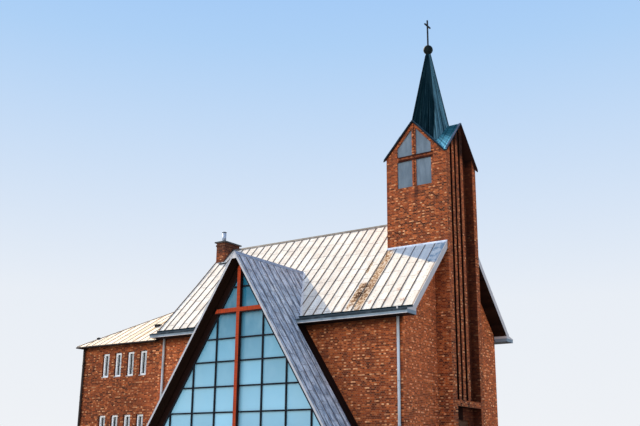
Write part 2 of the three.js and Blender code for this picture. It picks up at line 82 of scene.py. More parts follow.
RUST_SEAM_X = 7.84  # the seam between the two rusty trays
RUST_SPOTS = ((10.64, 9.57), (9.96, 8.65), (9.56, 8.1), (10.51, 8.00), (8.7, 8.05))
SUN_EDGE_X, SUN_EDGE_Z, SUN_EDGE_FALL = 7.96, 11.26, -0.354  # the tower's shadow line


def roof_z(y):
    """Height of the nave roof at a distance from its axis."""
    y = abs(y)
    for (y0, z0), (y1, z1) in zip(ROOF_LINE, ROOF_LINE[1:]):
        if y <= y1:
            return z0 + (z1 - z0) * (y - y0) / (y1 - y0)
    return ROOF_LINE[-1][1]


def roof_y(z):
    """Distance from the axis at which the nave roof has a height."""
    for (y0, z0), (y1, z1) in zip(ROOF_LINE, ROOF_LINE[1:]):
        if z >= z1:
            return y0 + (y1 - y0) * (z0 - z) / (z0 - z1)
    return ROOF_LINE[-1][0]


def frame_z(x):
    """Height of the A-frame's outer slopes at an x."""
    return FRAME_APEX - abs(x - FRAME_X) / FRAME_SPREAD


# Materials


def node_math(kind):
    def apply(self, *others):
        return self.surface.math(kind, self, *others)

    return apply


class Value:
    """What a node gives. Arithmetic adds math nodes, & takes two masks together, | the greater."""

    def __init__(self, surface, socket):
        self.surface = surface
        self.socket = socket

    __add__ = node_math("ADD")
    __sub__ = node_math("SUBTRACT")
    __mul__ = __and__ = node_math("MULTIPLY")
    __truediv__ = node_math("DIVIDE")
    __mod__ = node_math("FLOORED_MODULO")
    __pow__ = node_math("POWER")
    __or__ = node_math("MAXIMUM")
    __gt__ = node_math("GREATER_THAN")
    __lt__ = node_math("LESS_THAN")
    __abs__ = node_math("ABSOLUTE")
    floor = node_math("FLOOR")
    fract = node_math("FRACT")
    least = node_math("MINIMUM")

    def __rsub__(self, number):
        return self.surface.math("SUBTRACT", number, self)

    def within(self, low, high):
        return (self > low) & (self < high)

    def edge(self):
        """Distance to the nearest whole number."""
        part = self.fract()
        return part.least(1.0 - part)

    def span(self, low, high, to_low, to_high, ease="SMOOTHSTEP"):
        """Goes from to_low to to_high while the value goes from low to high."""
        limits = dict(enumerate((self, low, high, to_low, to_high)))
        return self.surface.add("MapRange", limits, interpolation_type=ease)

    def rise(self, low, high, top=1.0):
        return self.span(low, high, 0.0, top)

    def fall(self, low, high, top=1.0):
        return self.span(low, high, top, 0.0)


class Surface:
    """A node material with its paint so far, and short names for the nodes that build it."""

    def __init__(self, name, **sockets):
        self.material = bpy.data.materials.new(name)
        self.material.use_nodes = True
        self.tree = self.material.node_tree
        self.shader = self.tree.nodes["Principled BSDF"]
        for socket, value in sockets.items():
            self.put(value, self.shader.inputs[socket.replace("_", " ")])
        self.place = self.add("TexCoord", {}, "Object")
        self.x, self.y, self.z = self.split(self.place)
        self.nx, self.ny, self.nz = self.split(self.add("NewGeometry", {}, "Normal"))

    def add(self, kind, inputs, output=0, **props):
        """One output of a new node, whose inputs are given by number or name."""
        made = self.tree.nodes.new("ShaderNode" + kind)
        for key, value in props.items():
            setattr(made, key, value)
        for key, value in inputs.items():
            self.put(value, made.inputs[key])
        return Value(self, made.outputs[output])

    def put(self, value, socket):
        if isinstance(value, Value):
            self.tree.links.new(value.socket, socket)
        elif socket.type == "RGBA":
            socket.default_value = (*value, 1.0)
        else:
            socket.default_value = value

    def split(self, vector):
        return [self.add("SeparateXYZ", {0: vector}, i) for i in range(3)]

    def math(self, op, *args):
        return self.add("Math", dict(enumerate(args)), operation=op)

    def vector(self, *parts):
        return self.add("CombineXYZ", dict(enumerate(parts)))

    def scaled(self, *factors):
        """The place, stretched by a factor each way."""
        return self.add("Mapping", {0: self.place, "Scale": factors})

    def noise(self, scale, detail=4.0, rough=0.55, at=None):
        inputs = {"Vector": at or self.place, "Scale": scale, "Detail": detail, "Roughness": rough}
        return self.add("TexNoise", inputs)

    def chance(self, x, y, z=0.0):
        return self.add("TexWhiteNoise", {"Vector": self.vector(x, y, z)}, noise_dimensions="3D")

    def mix(self, share, a, b, blend="MIX"):
        return self.add("Mix", {0: share, 6: a, 7: b}, 2, data_type="RGBA", blend_type=blend)

    def coat(self, share, color):
        """Lays a colour over the paint, as thick as the share says."""
        self.paint = self.mix(share, self.paint, color)

    def shade(self, gain):
        self.paint = self.mix(1.0, self.paint, self.vector(gain, gain, gain), "MULTIPLY")

    def ramp(self, value, stops):
        made = self.add("ValToRGB", {0: value})
        set_ramp(made.socket.node, stops)
        return made

    def done(self, rough=None, relief=None):
        """The painted material, given a roughness and a relief's height, depth and strength."""
        self.put(self.paint, self.shader.inputs["Base Color"])
        if rough:
            self.put(rough, self.shader.inputs["Roughness"])
        if relief:
            bump = self.add("Bump", dict(zip(("Height", "Distance", "Strength"), relief)))
            self.put(bump, self.shader.inputs["Normal"])
        return self.material

    def along(self, facing):
        """The level coordinate: y where facing is 1, else x."""
        return facing * (self.y - self.x) + self.x


def set_ramp(node, stops):
    elements = node.color_ramp.elements
    while len(elements) < len(stops):
        elements.new(0.5)
    for element, (at, color) in zip(elements, stops):
        element.position = at
        element.color = (*color, 1.0)


def brick_material(name, soot=0.0, tower=False):
    """Bricks in rows of stretchers and headers, with mortar, blotches and streaks."""
    s = Surface(name, Roughness=0.88, Specular_IOR_Level=0.05)
    rise = s.z / COURSE
    row = rise.floor()
    odd = row % 2.0
    length = odd * (-BRICK_LENGTH / 2) + BRICK_LENGTH
    run = s.along(abs(s.nx) > 0.6) / length + odd * 0.5
    brick = run.floor()
    # Pale bricks are commoner among the headers of the odd rows.
    luck = s.chance(brick, row) * odd.span(0.0, 1.0, 0.8, 1.0)
    if tower:
        luck = luck * s.z.span(14.0, 15.4, 0.97, 0.9)
    tint = s.chance(brick, row, 5.0)
    grain = s.noise(90.0, 3.0)
    joint = (run.edge() * length).least(rise.edge() * COURSE)
    mortar = (joint + (grain * 0.004 - 0.002)).fall(0.004, 0.0085)
    stops = [(0.0, (0.045, 0.012, 0.007)), (0.18, (0.16, 0.033, 0.012)), (0.45, (0.3, 0.062, 0.017))]
    stops += [(0.66, (0.43, 0.098, 0.024)), (0.8, (0.56, 0.17, 0.055)), (1.0, (0.86, 0.45, 0.21))]
    s.paint = s.ramp(luck, stops)
    tone = s.noise(12.0, 5.0, at=s.scaled(1.0, 1.0, 2.5))
    blotch = s.ramp(tone, [(0.3, (0.36, 0.32, 0.3)), (0.7, (1.52, 1.42, 1.34))])
    s.paint = s.mix(0.75, s.paint, blotch, "MULTIPLY")
    s.shade(tint * 0.44 + 0.82)
    lime = s.mix(grain, (0.2, 0.086, 0.045), (0.54, 0.28, 0.15))
    s.coat(mortar, lime)
    # Old soot and damp run down the wall in long faint streaks.
    streaks = s.noise(1.0, 6.0, 0.6, at=s.scaled(3.0, 3.0, 0.28))
    s.coat(streaks.rise(0.48, 0.72, 0.42), (0.11, 0.03, 0.018))
    broad = s.noise(0.35, 3.0)
    s.coat(broad.rise(0.35, 0.7, 0.25), (0.5, 0.115, 0.04))
    if soot:
        s.coat(s.z.span(12.6, 13.5, 0.35, soot), (0.045, 0.028, 0.022))
    if tower:
        tower_painted_shade_and_drip(s)
    painted_light_and_shade_on_bricks(s)
    painted_shade_and_splash(s)
    height = tint * 0.25 + (1.0 - mortar) + s.noise(45.0) * 0.35
    return s.done(grain.span(0.3, 0.7, 0.8, 0.95), (height, 0.009, 0.9))


def tower_painted_shade_and_drip(s):
    """Painted shade in the front's niche, under its gable and at the window cross, and damp below the window.
    """
    # Painted shade deep in the niche, darkest in the gaps between the fins.
    niche = s.x.within(NICHE_BACK, TOWER_X1 - 0.005) & (abs(s.y) < NICHE_HALF)
    s.coat(niche * 0.78, (0.038, 0.008, 0.005))
    gap = niche & s.y.fall(0.1, 0.185, 0.92)
    fin_faces = (s.nx > 0.5) & (s.x > TOWER_X1 - 0.01) & (s.z > 3.6)
    for low, high in FIN_GAPS:
        away = abs(s.y - (low + high) / 2) - (high - low) / 2
        gap = gap | (away.fall(0.01, 0.04, 0.9) & fin_faces)
    s.coat(gap, (0.01, 0.003, 0.002))
    # Painted shade darkens the front up under its gable.
    below = TOWER_APEX - abs(s.y - RIDGE_Y) * TOWER_SLOPE - s.z
    gable_shade = below.fall(0.1, 0.45, 0.9) | s.z.rise(16.7, 17.3, 0.9)
    gable_shade = gable_shade | (s.y.rise(-0.45, -0.36) & s.z.rise(16.0, 16.7, 0.94))
    at_front = (niche | (s.nx > 0.5)) & (s.x > NICHE_BACK - 0.02)
    s.coat(gable_shade & at_front, (0.014, 0.006, 0.004))
    # Painted shade lines the edges of the window cross's level arm and darkens the left half of its post,
    # with darker bands like brick joints.
    off = abs(s.x - TOWER_XC)
    arm = abs(s.z - WINDOW_ARM_Z)
    edges = arm.span(0.02, 0.07, 0.45, 1.0) & arm.fall(0.15, 0.18)
    edges = edges & off.fall(1.02, 1.06)
    rungs = ((s.z / 0.15).fract() < 0.42) * 0.4 + 0.45
    post = (s.x - TOWER_XC).fall(-0.05, 0.0) & rungs
    post = post & (off < WINDOW_POST_HALF) & (s.z > WINDOW_FOOT - 0.01)
    s.coat(edges * 0.9 | post, (0.018, 0.006, 0.005))
    # Damp runs down from the window's foot.
    drip = off.fall(0.06, 0.16) & s.z.rise(13.3, 14.4, 0.8)
    s.coat(drip & (s.z < WINDOW_FOOT + 0.01), (0.06, 0.022, 0.016))


def painted_light_and_shade_on_bricks(s):
    """Darker bricks in the wing, painted shade on the faces turned to -X, painted light on the faces turned
    to +X, most on the nave's front walls, and brighter walls along the back part of the nave.
    """
    # Darker bricks in the wing, and painted shade on the faces turned to -X.
    darker_wing_and_shaded_back = s.x.fall(-6.5, -5.0, 0.3) | s.nx.fall(-0.9, -0.5, 0.42)
    s.coat(darker_wing_and_shaded_back, (0.052, 0.014, 0.007))
    # Painted light on the faces turned to +X, brightest and reddest on the nave's front walls.
    front = s.nx.rise(0.5, 0.9)
    painted_light_front = front & (abs(s.y) > 1.8)
    s.coat(painted_light_front * 0.15, (0.55, 0.11, 0.025))
    bay = s.x.rise(-5.0, -4.9) & s.x.fall(-1.0, 0.0, 0.2) & (s.z < 8.0)
    s.shade(painted_light_front * 0.38 + front * 0.12 + 1.0 + bay)


def painted_shade_and_splash(s):
    """Painted shade under the eaves and in the wing's window reveals, and rain splash at the foot."""
    out = abs(s.y)
    # Painted shade under the eaves.
    s.coat(s.z.rise(6.72, 7.1, 0.72) & (out > WALL_Y - 0.1), (0.04, 0.014, 0.006))
    # Painted shade in the wing's window reveals.
    reveal = (abs(s.nx) > 0.6) | (s.nz < -0.6)
    reveal = reveal & out.within(WALL_Y - 0.37, WALL_Y - 0.005) & s.x.within(-11.0, -5.2)
    s.coat(reveal * 0.75, (0.04, 0.012, 0.009))
    s.coat(s.z.fall(0.3, 1.1, 0.35), (0.16, 0.11, 0.09))


def sheet_roof_material(
    name, base, worn, run, run_color, edge_color=(0.54, 0.49, 0.46), grime=0.4, flecks=0.0, seam_shadow_and_dirt_strength=0.7,
    nave=False,
):
    """Old painted roof sheet in trays, with lap joints, chalking, specks and streaks, and painted shade
    beside the seams, on the sunward slopes and underneath.
    """
    s = Surface(name, Roughness=0.7, Specular_IOR_Level=0.0)
    facing = abs(s.nx) > abs(s.ny)
    nave_step = (s.x - SEAM_X) / SEAM_PITCH
    frame_step = (abs(s.y) - FRAME_SEAM_Y) / FRAME_SEAM_PITCH
    step = facing * (frame_step - nave_step) + nave_step
    tray = step.floor()
    laps = s.chance(tray, facing, 3.0) * 7.0 + s.z / LAP_PITCH
    broken = s.noise(5.0, 4.0, 0.7).span(0.38, 0.58, 0.15, 1.0)
    lap_line = (laps.edge() * LAP_PITCH).fall(0.012, 0.026, 0.75) & broken
    chalk = s.noise(1.6, 6.0, 0.62)
    s.paint = s.mix(chalk.rise(0.3, 0.7), worn, base)
    s.shade(s.chance(tray, laps.floor(), 9.0) * 0.12 + 0.93)
    mottle = s.noise(11.0, 5.0, 0.7)
    s.coat(mottle.rise(0.5, 0.72, grime), (0.36, 0.31, 0.27))
    # Stains follow the fall of the sheet, in long thin tongues.
    level = s.along(facing)
    tongue = s.noise(1.0, 7.0, 0.75, at=s.vector(level * 5.5, facing, s.z * 0.28))
    s.coat(tongue.rise(0.42, 0.58, run), run_color)
    if flecks:
        fleck = s.noise(1.0, 5.0, 0.75, at=s.vector(level * 6.5, facing, s.z * 1.7))
        s.coat(fleck.rise(0.51, 0.6, flecks), (0.8, 0.8, 0.8))
        s.coat(fleck.fall(0.4, 0.49, flecks), (0.13, 0.14, 0.17))
        pink = s.z.rise(8.6, 10.2) & mottle.rise(0.44, 0.6, 0.35)
        s.coat(pink, (0.8, 0.62, 0.58))
    # Dirt lies along each seam and thins out down the tray. On the +X side of each seam, painted shadow and
    # dirt darken the sheet.
    ragged = s.noise(7.0, 4.0) * -0.05 + step.edge() * SEAM_PITCH
    s.coat(ragged.fall(-0.01, 0.03, 0.6), (0.24, 0.17, 0.12))
    seam_shadow_and_dirt = (step.fract() * SEAM_PITCH).fall(0.035, 0.085, seam_shadow_and_dirt_strength)
    s.coat(seam_shadow_and_dirt, (0.16, 0.095, 0.055))
    specks = s.noise(1.0, 2.0, 0.4, at=s.scaled(11.0, 11.0, 30.0))
    s.coat(specks.rise(0.66, 0.72, 0.8), (0.22, 0.13, 0.08))
    s.coat(lap_line, (0.22, 0.19, 0.17))
    if nave:
        tower_corner_stains_and_shadow(s)
    # Painted shade in patches on the slopes turned to the sun, towards -X and the far side.
    sunward_slopes = s.nx.fall(-0.5, -0.2) | s.ny.rise(0.2, 0.5)
    shade_patches = s.noise(1.0, 6.0, 0.7, at=s.scaled(1.6, 1.6, 0.5)).span(0.35, 0.62, 0.4, 0.88)
    s.coat(sunward_slopes & shade_patches, (0.21, 0.195, 0.18))
    # Faces that stand upright are folded edge flashings.
    s.coat(abs(s.nz) < 0.2, edge_color)
    if nave:
        gutter_faces(s)
    # Dark boards line every underside, painted near black for shade.
    board = s.chance((s.y / BOARD_WIDTH).floor(), 4.0)
    boards = s.mix(board, (0.012, 0.006, 0.004), (0.03, 0.014, 0.009))
    s.coat(s.nz < -0.12, boards)
    dents = s.noise(1.4, 3.0, at=s.scaled(1.0, 1.0, 0.6))
    return s.done(chalk.span(0.3, 0.7, 0.62, 0.42), (dents - lap_line * 0.12, 0.03, 0.5))


def tower_corner_stains_and_shadow(s):
    """Rust in two trays below the tower's corner, small spots farther along, damp patches, and a painted
    shadow under the tower.
    """
    near = s.y < 0.0
    ragged = s.noise(2.1, 8.0, 0.74, at=s.scaled(1.8, 1.0, 1.1))
    fine = s.noise(8.0, 6.0, 0.7)
    off = s.x - RUST_SEAM_X
    right = off.rise(0.0, 0.09) & off.fall(0.46, 0.59) & s.z.span(7.6, 8.3, 0.8, 1.0)
    left = off.rise(-0.56, -0.34) & off.span(-0.06, 0.02, 1.0, 0.2)
    left = left & s.z.fall(9.1, 9.7) & s.z.span(7.6, 8.4, 0.65, 1.0)
    trace = abs(off + 0.5).fall(0.06, 0.22, 0.95) & s.z.rise(9.4, 10.0)
    trace = trace & s.z.span(10.5, 11.0, 0.88, 0.3)
    blot = (ragged & (right | left | trace) & near).rise(0.3, 0.46)
    rust = s.mix(fine.rise(0.42, 0.56), (0.62, 0.43, 0.26), (0.22, 0.11, 0.05))
    s.coat(blot & fine.span(0.32, 0.5, 0.45, 1.0), rust)
    core = abs(off + 0.01).fall(0.14, 0.44) & s.z.rise(8.1, 8.5) & s.z.fall(9.0, 9.4)
    core = core & near & ragged.rise(0.38, 0.52) & fine.span(0.4, 0.52, 0.1, 1.0)
    s.coat(core, (0.075, 0.036, 0.02))
    for spot_x, spot_z in RUST_SPOTS:
        away = (s.x - spot_x) ** 2.0 + (s.z - spot_z) ** 2.0
        spot = away.fall(0.002, 0.02, 0.8) & fine.rise(0.4, 0.56)
        s.coat(spot & near, (0.42, 0.19, 0.11))
    # Damp teal patches where the tower keeps the sheet in shade.
    shaded = s.x.rise(10.2, 10.9) & s.z.rise(9.7, 10.3) & near
    damp = (s.noise(3.2, 6.0, 0.7) & shaded).rise(0.45, 0.56)
    s.coat(damp, (0.06, 0.09, 0.11))
    # Painted shadow under the tower, duller and bluer, down to where the sun reaches.
    above = s.z - ((s.x - SUN_EDGE_X) * SUN_EDGE_FALL + SUN_EDGE_Z)
    painted_tower_shadow = above.rise(-0.06, 0.06) & near & s.x.rise(7.9, 8.6, 0.56)
    s.coat(painted_tower_shadow, (0.28, 0.38, 0.47))


def gutter_faces(s):
    """The lying gutter: a dark lip, paler below, and the grey apron outside it."""
    open_side = abs(s.nx) < 0.5
    out = abs(s.y)
    lip_tones = s.mix(s.z.rise(7.54, 7.56), (0.06, 0.075, 0.085), (0.01, 0.02, 0.024))
    s.coat(out.within(GUTTER_Y - 0.01, APRON_Y) & open_side, lip_tones)
    s.coat((out > APRON_Y) & open_side, (0.07, 0.09, 0.1))


def painted_material(name, color, worn, roughness=0.6, metallic=0.0, scale=3.0, streak=0.25, underside_shade=None):
    """Plain paint or sheet with soft blotches and dirt streaks, and, if a colour is given, painted shade in
    it on the faces turned down.
    """
    s = Surface(name, Roughness=roughness, Metallic=metallic, Specular_IOR_Level=0.12)
    blotch = s.noise(scale, 6.0, 0.6, at=s.scaled(1.0, 1.0, streak))
    fine = s.noise(60.0, 3.0)
    s.paint = s.mix(blotch.rise(0.42, 0.72), color, worn)
    s.coat(fine.rise(0.62, 0.72, 0.35), worn)
    # Painted shade on the faces turned down.
    if underside_shade:
        s.coat(s.nz.fall(-0.6, -0.3), underside_shade)
    rough = blotch.span(0.3, 0.7, roughness - 0.06, roughness + 0.12)
    return s.done(rough, (fine, 0.0015, 0.4))


def board_material(name, color, dark):
    """Boards that run down the slope, with grain and open joints."""
    s = Surface(name, Roughness=0.85, Specular_IOR_Level=0.08)
    step = s.y / BOARD_WIDTH
    luck = s.chance(step.floor(), 2.0)
    grain = s.noise(1.0, 5.0, at=s.vector(s.y * 60.0, luck, s.z * 3.0))
    s.paint = s.mix(grain, dark, color)
    s.shade(luck * 0.55 + 0.7)
    gap = (step.edge() * BOARD_WIDTH).fall(0.003, 0.007)
    s.coat(gap, (0.006, 0.005, 0.004))
    return s.done(relief=(grain * 0.2 + (1.0 - gap), 0.006, 0.7))


def timber_material(name, color, dark, edge_shade_and_rail=0.0):
    """Painted timber with upright and level grain, and, where a strength is given, painted shade on the
    cross's edges and a black band for the rail behind its arms.
    """
    s = Surface(name, Roughness=0.65, Specular_IOR_Level=0.08)
    upright = s.noise(1.0, 5.0, at=s.scaled(22.0, 22.0, 0.8))
    level = s.noise(1.0, 5.0, at=s.scaled(0.8, 22.0, 30.0))
    grain = upright.least(level)
    flake = s.noise(5.0, 7.0, 0.7)
    s.paint = s.mix(grain.rise(0.3, 0.6), dark, color)
    s.coat(flake.rise(0.6, 0.7, 0.6), (0.2, 0.06, 0.03))
    if edge_shade_and_rail:
        # Painted shade on the cross's side faces and on its post's right arris, and a black band low on the
        # arms that stands for the rail behind them.
        off = s.x - FRAME_X
        low_edge = (abs(off) > 0.112) & (s.z < 7.7)
        right_arris = (off > 0.082) & (abs(s.z - 7.78) > 0.115)
        edge_shade_and_rail_mask = (abs(s.nx) > 0.6) | (low_edge | right_arris)
        s.coat(edge_shade_and_rail_mask * edge_shade_and_rail, (0.006, 0.004, 0.004))
    return s.done(flake.span(0.4, 0.7, 0.45, 0.75), (grain, 0.002, 0.5))


def glass_painted_sky_material(name, high, low, z_low, z_high):
    """Dull reflective glazing, with a painted reflection of the sky, deep teal up high and pale low down, and
    painted reflections of clouds. Each pane has its own tone.
    """
    s = Surface(name, Roughness=0.1, Specular_IOR_Level=0.6)
    # Painted reflection of the sky: deep teal up high, paler low down.
    s.paint = s.mix(s.z.span(z_low, z_high, 0.0, 1.0, "LINEAR"), low, high)
    # Painted reflections of pale clouds.
    cloud = s.noise(0.9, 5.0, at=s.scaled(0.9, 0.9, 0.5))
    s.coat(cloud.rise(0.45, 0.66, 0.2), (0.34, 0.55, 0.62))
    column = ((s.x - FRAME_X) / GLASS_PANE[0]).floor()
    row = ((s.z - 0.4) / GLASS_PANE[1]).floor()
    s.shade(s.chance(column, row, 1.0) * 0.26 + 0.86)
    dust = s.noise(5.0, 6.0)
    waves = s.noise(0.9, 1.0)
    return s.done(dust.span(0.4, 0.75, 0.06, 0.2), (waves, 0.02, 0.5))


def clear_pane_material(name):
    """Clear window glass with a little dust."""
    s = Surface(name, Roughness=0.05, Specular_IOR_Level=0.7)
    dust = s.noise(6.0, 6.0)
    s.put(dust.span(0.3, 0.8, 0.1, 0.2), s.shader.inputs["Alpha"])
    s.paint = s.mix(dust, (0.01, 0.018, 0.024), (0.03, 0.042, 0.05))
    return s.done()


def tower_metal_material(name, deep, pale, pale_streaks_and_highlight, painted_light_side=0.0, valley_highlight=0.0):
    """Dark teal sheet with pale runs down it, level laps and painted shade underneath. It can add painted
    light on the faces turned to +X with painted shade on the rest, or a painted highlight in the valleys.
    """
    s = Surface(name, Roughness=0.65, Specular_IOR_Level=0.0)
    angle = s.math("ARCTAN2", s.x - TOWER_XC, s.y)
    runs = s.noise(1.0, 7.0, 0.7, at=s.vector(angle * 9.0, 0.0, s.z * 0.22))
    fine = s.noise(1.0, 5.0, 0.7, at=s.vector(angle * 26.0, 1.0, s.z * 0.35))
    s.paint = s.mix(runs.rise(0.36, 0.68), deep, pale)
    s.coat(fine.rise(0.5, 0.66, 0.45), pale_streaks_and_highlight)
    if valley_highlight:
        # The low roof darkens towards its ridges, and a painted highlight streaks its valleys with a lighter
        # teal.
        s.coat(s.z.rise(17.1, 17.9, 0.7), (0.004, 0.032, 0.05))
        streak = s.z.fall(16.4, 17.7, valley_highlight) & fine.span(0.38, 0.58, 0.2, 1.0)
        s.coat(streak, pale_streaks_and_highlight)
    if painted_light_side:
        # Painted light in long pale streaks on the faces turned to +X.
        faces_to_plus_x = s.nx.rise(0.55, 0.8)
        # Low down the painted light reaches round the arris, into the face beside it.
        reach = s.z.span(17.2, 19.6, 2.6, 2.356, "LINEAR") - angle
        wedge = reach.rise(0.0, 0.06) & (angle > 2.3)
        painted_light_area = (faces_to_plus_x | wedge) * painted_light_side
        s.coat(painted_light_area & fine.span(0.42, 0.6, 0.1, 1.05), pale_streaks_and_highlight)
        # Painted shade, almost black, on the faces turned to -X and to the near side.
        painted_dark_shade = s.nx.fall(-0.3, 0.3, 0.7) | s.nx.rise(0.0, 0.3, 0.55)
        s.coat(painted_dark_shade & (1.0 - (painted_light_area | faces_to_plus_x)), (0.001, 0.005, 0.008))
    line = (s.z / 0.93).fract().fall(0.0, 0.02, 0.45)
    s.coat(line, (0.008, 0.014, 0.017))
    # Painted shade on the undersides.
    s.coat(s.nz < -0.12, (0.035, 0.013, 0.009))
    s.coat(abs(s.nz) < 0.12, (0.01, 0.02, 0.026))
    return s.done(runs.span(0.3, 0.7, 0.55, 0.75), (runs + line * -0.3, 0.01, 0.5))


def panel_material(name):
    """Grey-blue louvre-like panel with fine upright ribs and painted shade in the grooves between them."""
    s = Surface(name, Roughness=0.5, Metallic=0.1)
    rib = (s.along(abs(s.nx) > 0.6) / RIB_PITCH).fract()
    shaded_groove = abs(rib - 0.5).rise(0.3, 0.46)
    stain = s.noise(2.0, 6.0, at=s.scaled(2.0, 2.0, 0.5))
    s.paint = s.mix(stain.rise(0.35, 0.7), (0.105, 0.145, 0.175), (0.165, 0.215, 0.25))
    # Painted shade in the grooves.
    s.coat(shaded_groove * 0.55, (0.07, 0.09, 0.11))
    return s.done(relief=(1.0 - shaded_groove, 0.012, 0.8))


def concrete_material(name, light, dark):
    s = Surface(name, Roughness=0.9)
    cloud = s.noise(2.2, 8.0, 0.65)
    grit = s.noise(70.0, 3.0)
    s.paint = s.mix(cloud.rise(0.3, 0.7), dark, light)
    s.coat(grit.rise(0.6, 0.75, 0.5), dark)
    return s.done(relief=(grit * 0.4 + cloud, 0.006, 0.7))


BRICK = brick_material("brick_wall")
BRICK_TOWER = brick_material("brick_tower", tower=True)
BRICK_SOOTY = brick_material("brick_chimney", soot=0.8)
ROOF = sheet_roof_material(
    "roof_sheet", (0.86, 0.79, 0.67), (0.7, 0.615, 0.5), 0.45, (0.54, 0.44, 0.36), grime=0.62, nave=True
)
ROOF_FRAME = sheet_roof_material(
    "roof_sheet_transept", (0.86, 0.82, 0.76), (0.46, 0.49, 0.52), 0.78, (0.2, 0.26, 0.32),
    edge_color=(0.5, 0.48, 0.47), grime=0.75, flecks=0.8, seam_shadow_and_dirt_strength=0.35,
)
# The wing's upright edges are near black: painted shade in the line under its roof's edge.
ROOF_WING = sheet_roof_material(
    "roof_sheet_wing", (0.88, 0.81, 0.69), (0.74, 0.62, 0.46), 0.75, (0.52, 0.36, 0.21),
    edge_color=(0.035, 0.026, 0.022), seam_shadow_and_dirt_strength=0.25,
)
# The nave's seams are dark brown: dirt, with painted shade.
SEAM = painted_material("roof_seam", (0.075, 0.042, 0.024), (0.18, 0.12, 0.08), 0.7, scale=4.0)
SEAM_TAN = painted_material("roof_seam_wing", (0.42, 0.31, 0.22), (0.26, 0.175, 0.12), scale=4.0)
SEAM_GREY = painted_material("roof_seam_grey", (0.075, 0.08, 0.095), (0.24, 0.25, 0.28), 0.6, 0.1, 4.0)
SEAM_BROWN = painted_material("hip_cap", (0.15, 0.1, 0.07), (0.3, 0.22, 0.15), scale=4.0)
RIDGE = painted_material("ridge_sheet", (0.085, 0.07, 0.058), (0.24, 0.21, 0.18), 0.8)
RIDGE_GREY = painted_material("ridge_sheet_grey", (0.36, 0.38, 0.42), (0.2, 0.22, 0.26), scale=6.0)
TRIM = painted_material("edge_trim", (0.68, 0.62, 0.57), (0.46, 0.42, 0.39), scale=2.0)
FRAME_TRIM = painted_material("frame_edge_trim", (0.5, 0.5, 0.5), (0.3, 0.31, 0.33), scale=4.0)
DARK_TRIM = painted_material("dark_trim", (0.03, 0.022, 0.018), (0.075, 0.055, 0.045), 0.6, 0.1)
DRIP = painted_material("drip_edge", (0.02, 0.03, 0.036), (0.06, 0.075, 0.085), 0.5, 0.1)
# The eaves boards are painted near black underneath for shade.
EAVES = painted_material(
    "eaves_paint", (0.23, 0.28, 0.31), (0.15, 0.185, 0.21), scale=2.0, underside_shade=(0.006, 0.004, 0.004)
)
FLASHING = painted_material("wall_flashing", (0.72, 0.75, 0.8), (0.48, 0.5, 0.54), 0.4, 0.3)
PIPE = painted_material("downpipe_metal", (0.58, 0.58, 0.56), (0.38, 0.38, 0.37), 0.5, scale=4.0)
# The A-frame's lining is painted near black for the shade inside it.
SHADED_LINING = board_material("dark_boards", (0.022, 0.008, 0.005), (0.008, 0.003, 0.002))
RED = timber_material("red_timber", (0.5, 0.055, 0.013), (0.21, 0.035, 0.012), edge_shade_and_rail=0.93)
DARK_FRAME = painted_material("dark_frame", (0.006, 0.007, 0.01), (0.02, 0.021, 0.026), scale=8.0)
GLASS_PAINTED_SKY = glass_painted_sky_material("glazing", (0.012, 0.145, 0.225), (0.29, 0.56, 0.67), 3.2, 8.6)
SPIRE_SHEET = tower_metal_material(
    "spire_sheet", (0.0008, 0.007, 0.01), (0.003, 0.018, 0.025), (0.125, 0.265, 0.32), painted_light_side=0.95
)
TEAL = tower_metal_material(
    "tower_sheet", (0.018, 0.085, 0.105), (0.07, 0.27, 0.32), (0.28, 0.66, 0.72), valley_highlight=1.0
)
VERGE_TEAL = painted_material("tower_verge_teal", (0.02, 0.036, 0.05), (0.045, 0.065, 0.085), scale=4.0)
VERGE_DARK = painted_material("tower_verge", (0.085, 0.09, 0.115), (0.17, 0.17, 0.21), scale=4.0)
BALL = painted_material("ball_sheet", (0.003, 0.006, 0.006), (0.014, 0.022, 0.018), 0.75, scale=7.0)
PANEL = panel_material("tower_panel")
BLACK = painted_material("cross_metal", (0.008, 0.009, 0.011), (0.03, 0.03, 0.03), 0.5, 0.3, 10.0)
PLINTH = concrete_material("plinth_concrete", (0.42, 0.41, 0.38), (0.27, 0.26, 0.24))
CAP = concrete_material("cap_concrete", (0.085, 0.08, 0.075), (0.035, 0.034, 0.032))
STEEL = painted_material("flue_steel", (0.36, 0.42, 0.5), (0.25, 0.28, 0.34), scale=5.0)
WHITE = painted_material("white_frame", (0.93, 0.93, 0.9), (0.8, 0.79, 0.75), 0.4)
PANE = clear_pane_material("window_pane")
CURTAIN = painted_material("curtain", (0.84, 0.84, 0.8), (0.66, 0.65, 0.61), 0.9, scale=6.0, streak=0.1)
DOOR = timber_material("door_timber", (0.17, 0.075, 0.035), (0.075, 0.03, 0.015))
BRASS = painted_material("handle_metal", (0.45, 0.33, 0.14), (0.25, 0.18, 0.08), 0.35, 0.9, 20.0)

# The first name that a CAD node's own name contains gives its look.
NODE_LOOKS = [
    ("transept_near_roof", ROOF_FRAME), ("transept_far_roof", ROOF_FRAME), ("nave_ridge_cap", RIDGE),
    ("ridge_cap", RIDGE_GREY), ("nave_roof", ROOF), ("wing_roof", ROOF_WING), ("nave_eaves", EAVES),
    ("lining", SHADED_LINING), ("glass", GLASS_PAINTED_SKY), ("window_frame", DARK_FRAME), ("spire_cross", BLACK),
    ("_cross", RED), ("tower_window_panel", PANEL), ("tower_roof", TEAL), ("tower_spire", SPIRE_SHEET),
    ("tower_wall", BRICK_TOWER), ("chimney_stack", BRICK_SOOTY), ("chimney_cap", CAP),
    ("chimney_flue", STEEL), ("entrance_door", DOOR), ("floor", PLINTH), ("wall", BRICK),
    ("downpipe", PIPE), ("wing_windows", WHITE), ("spire_ball", BALL),
]

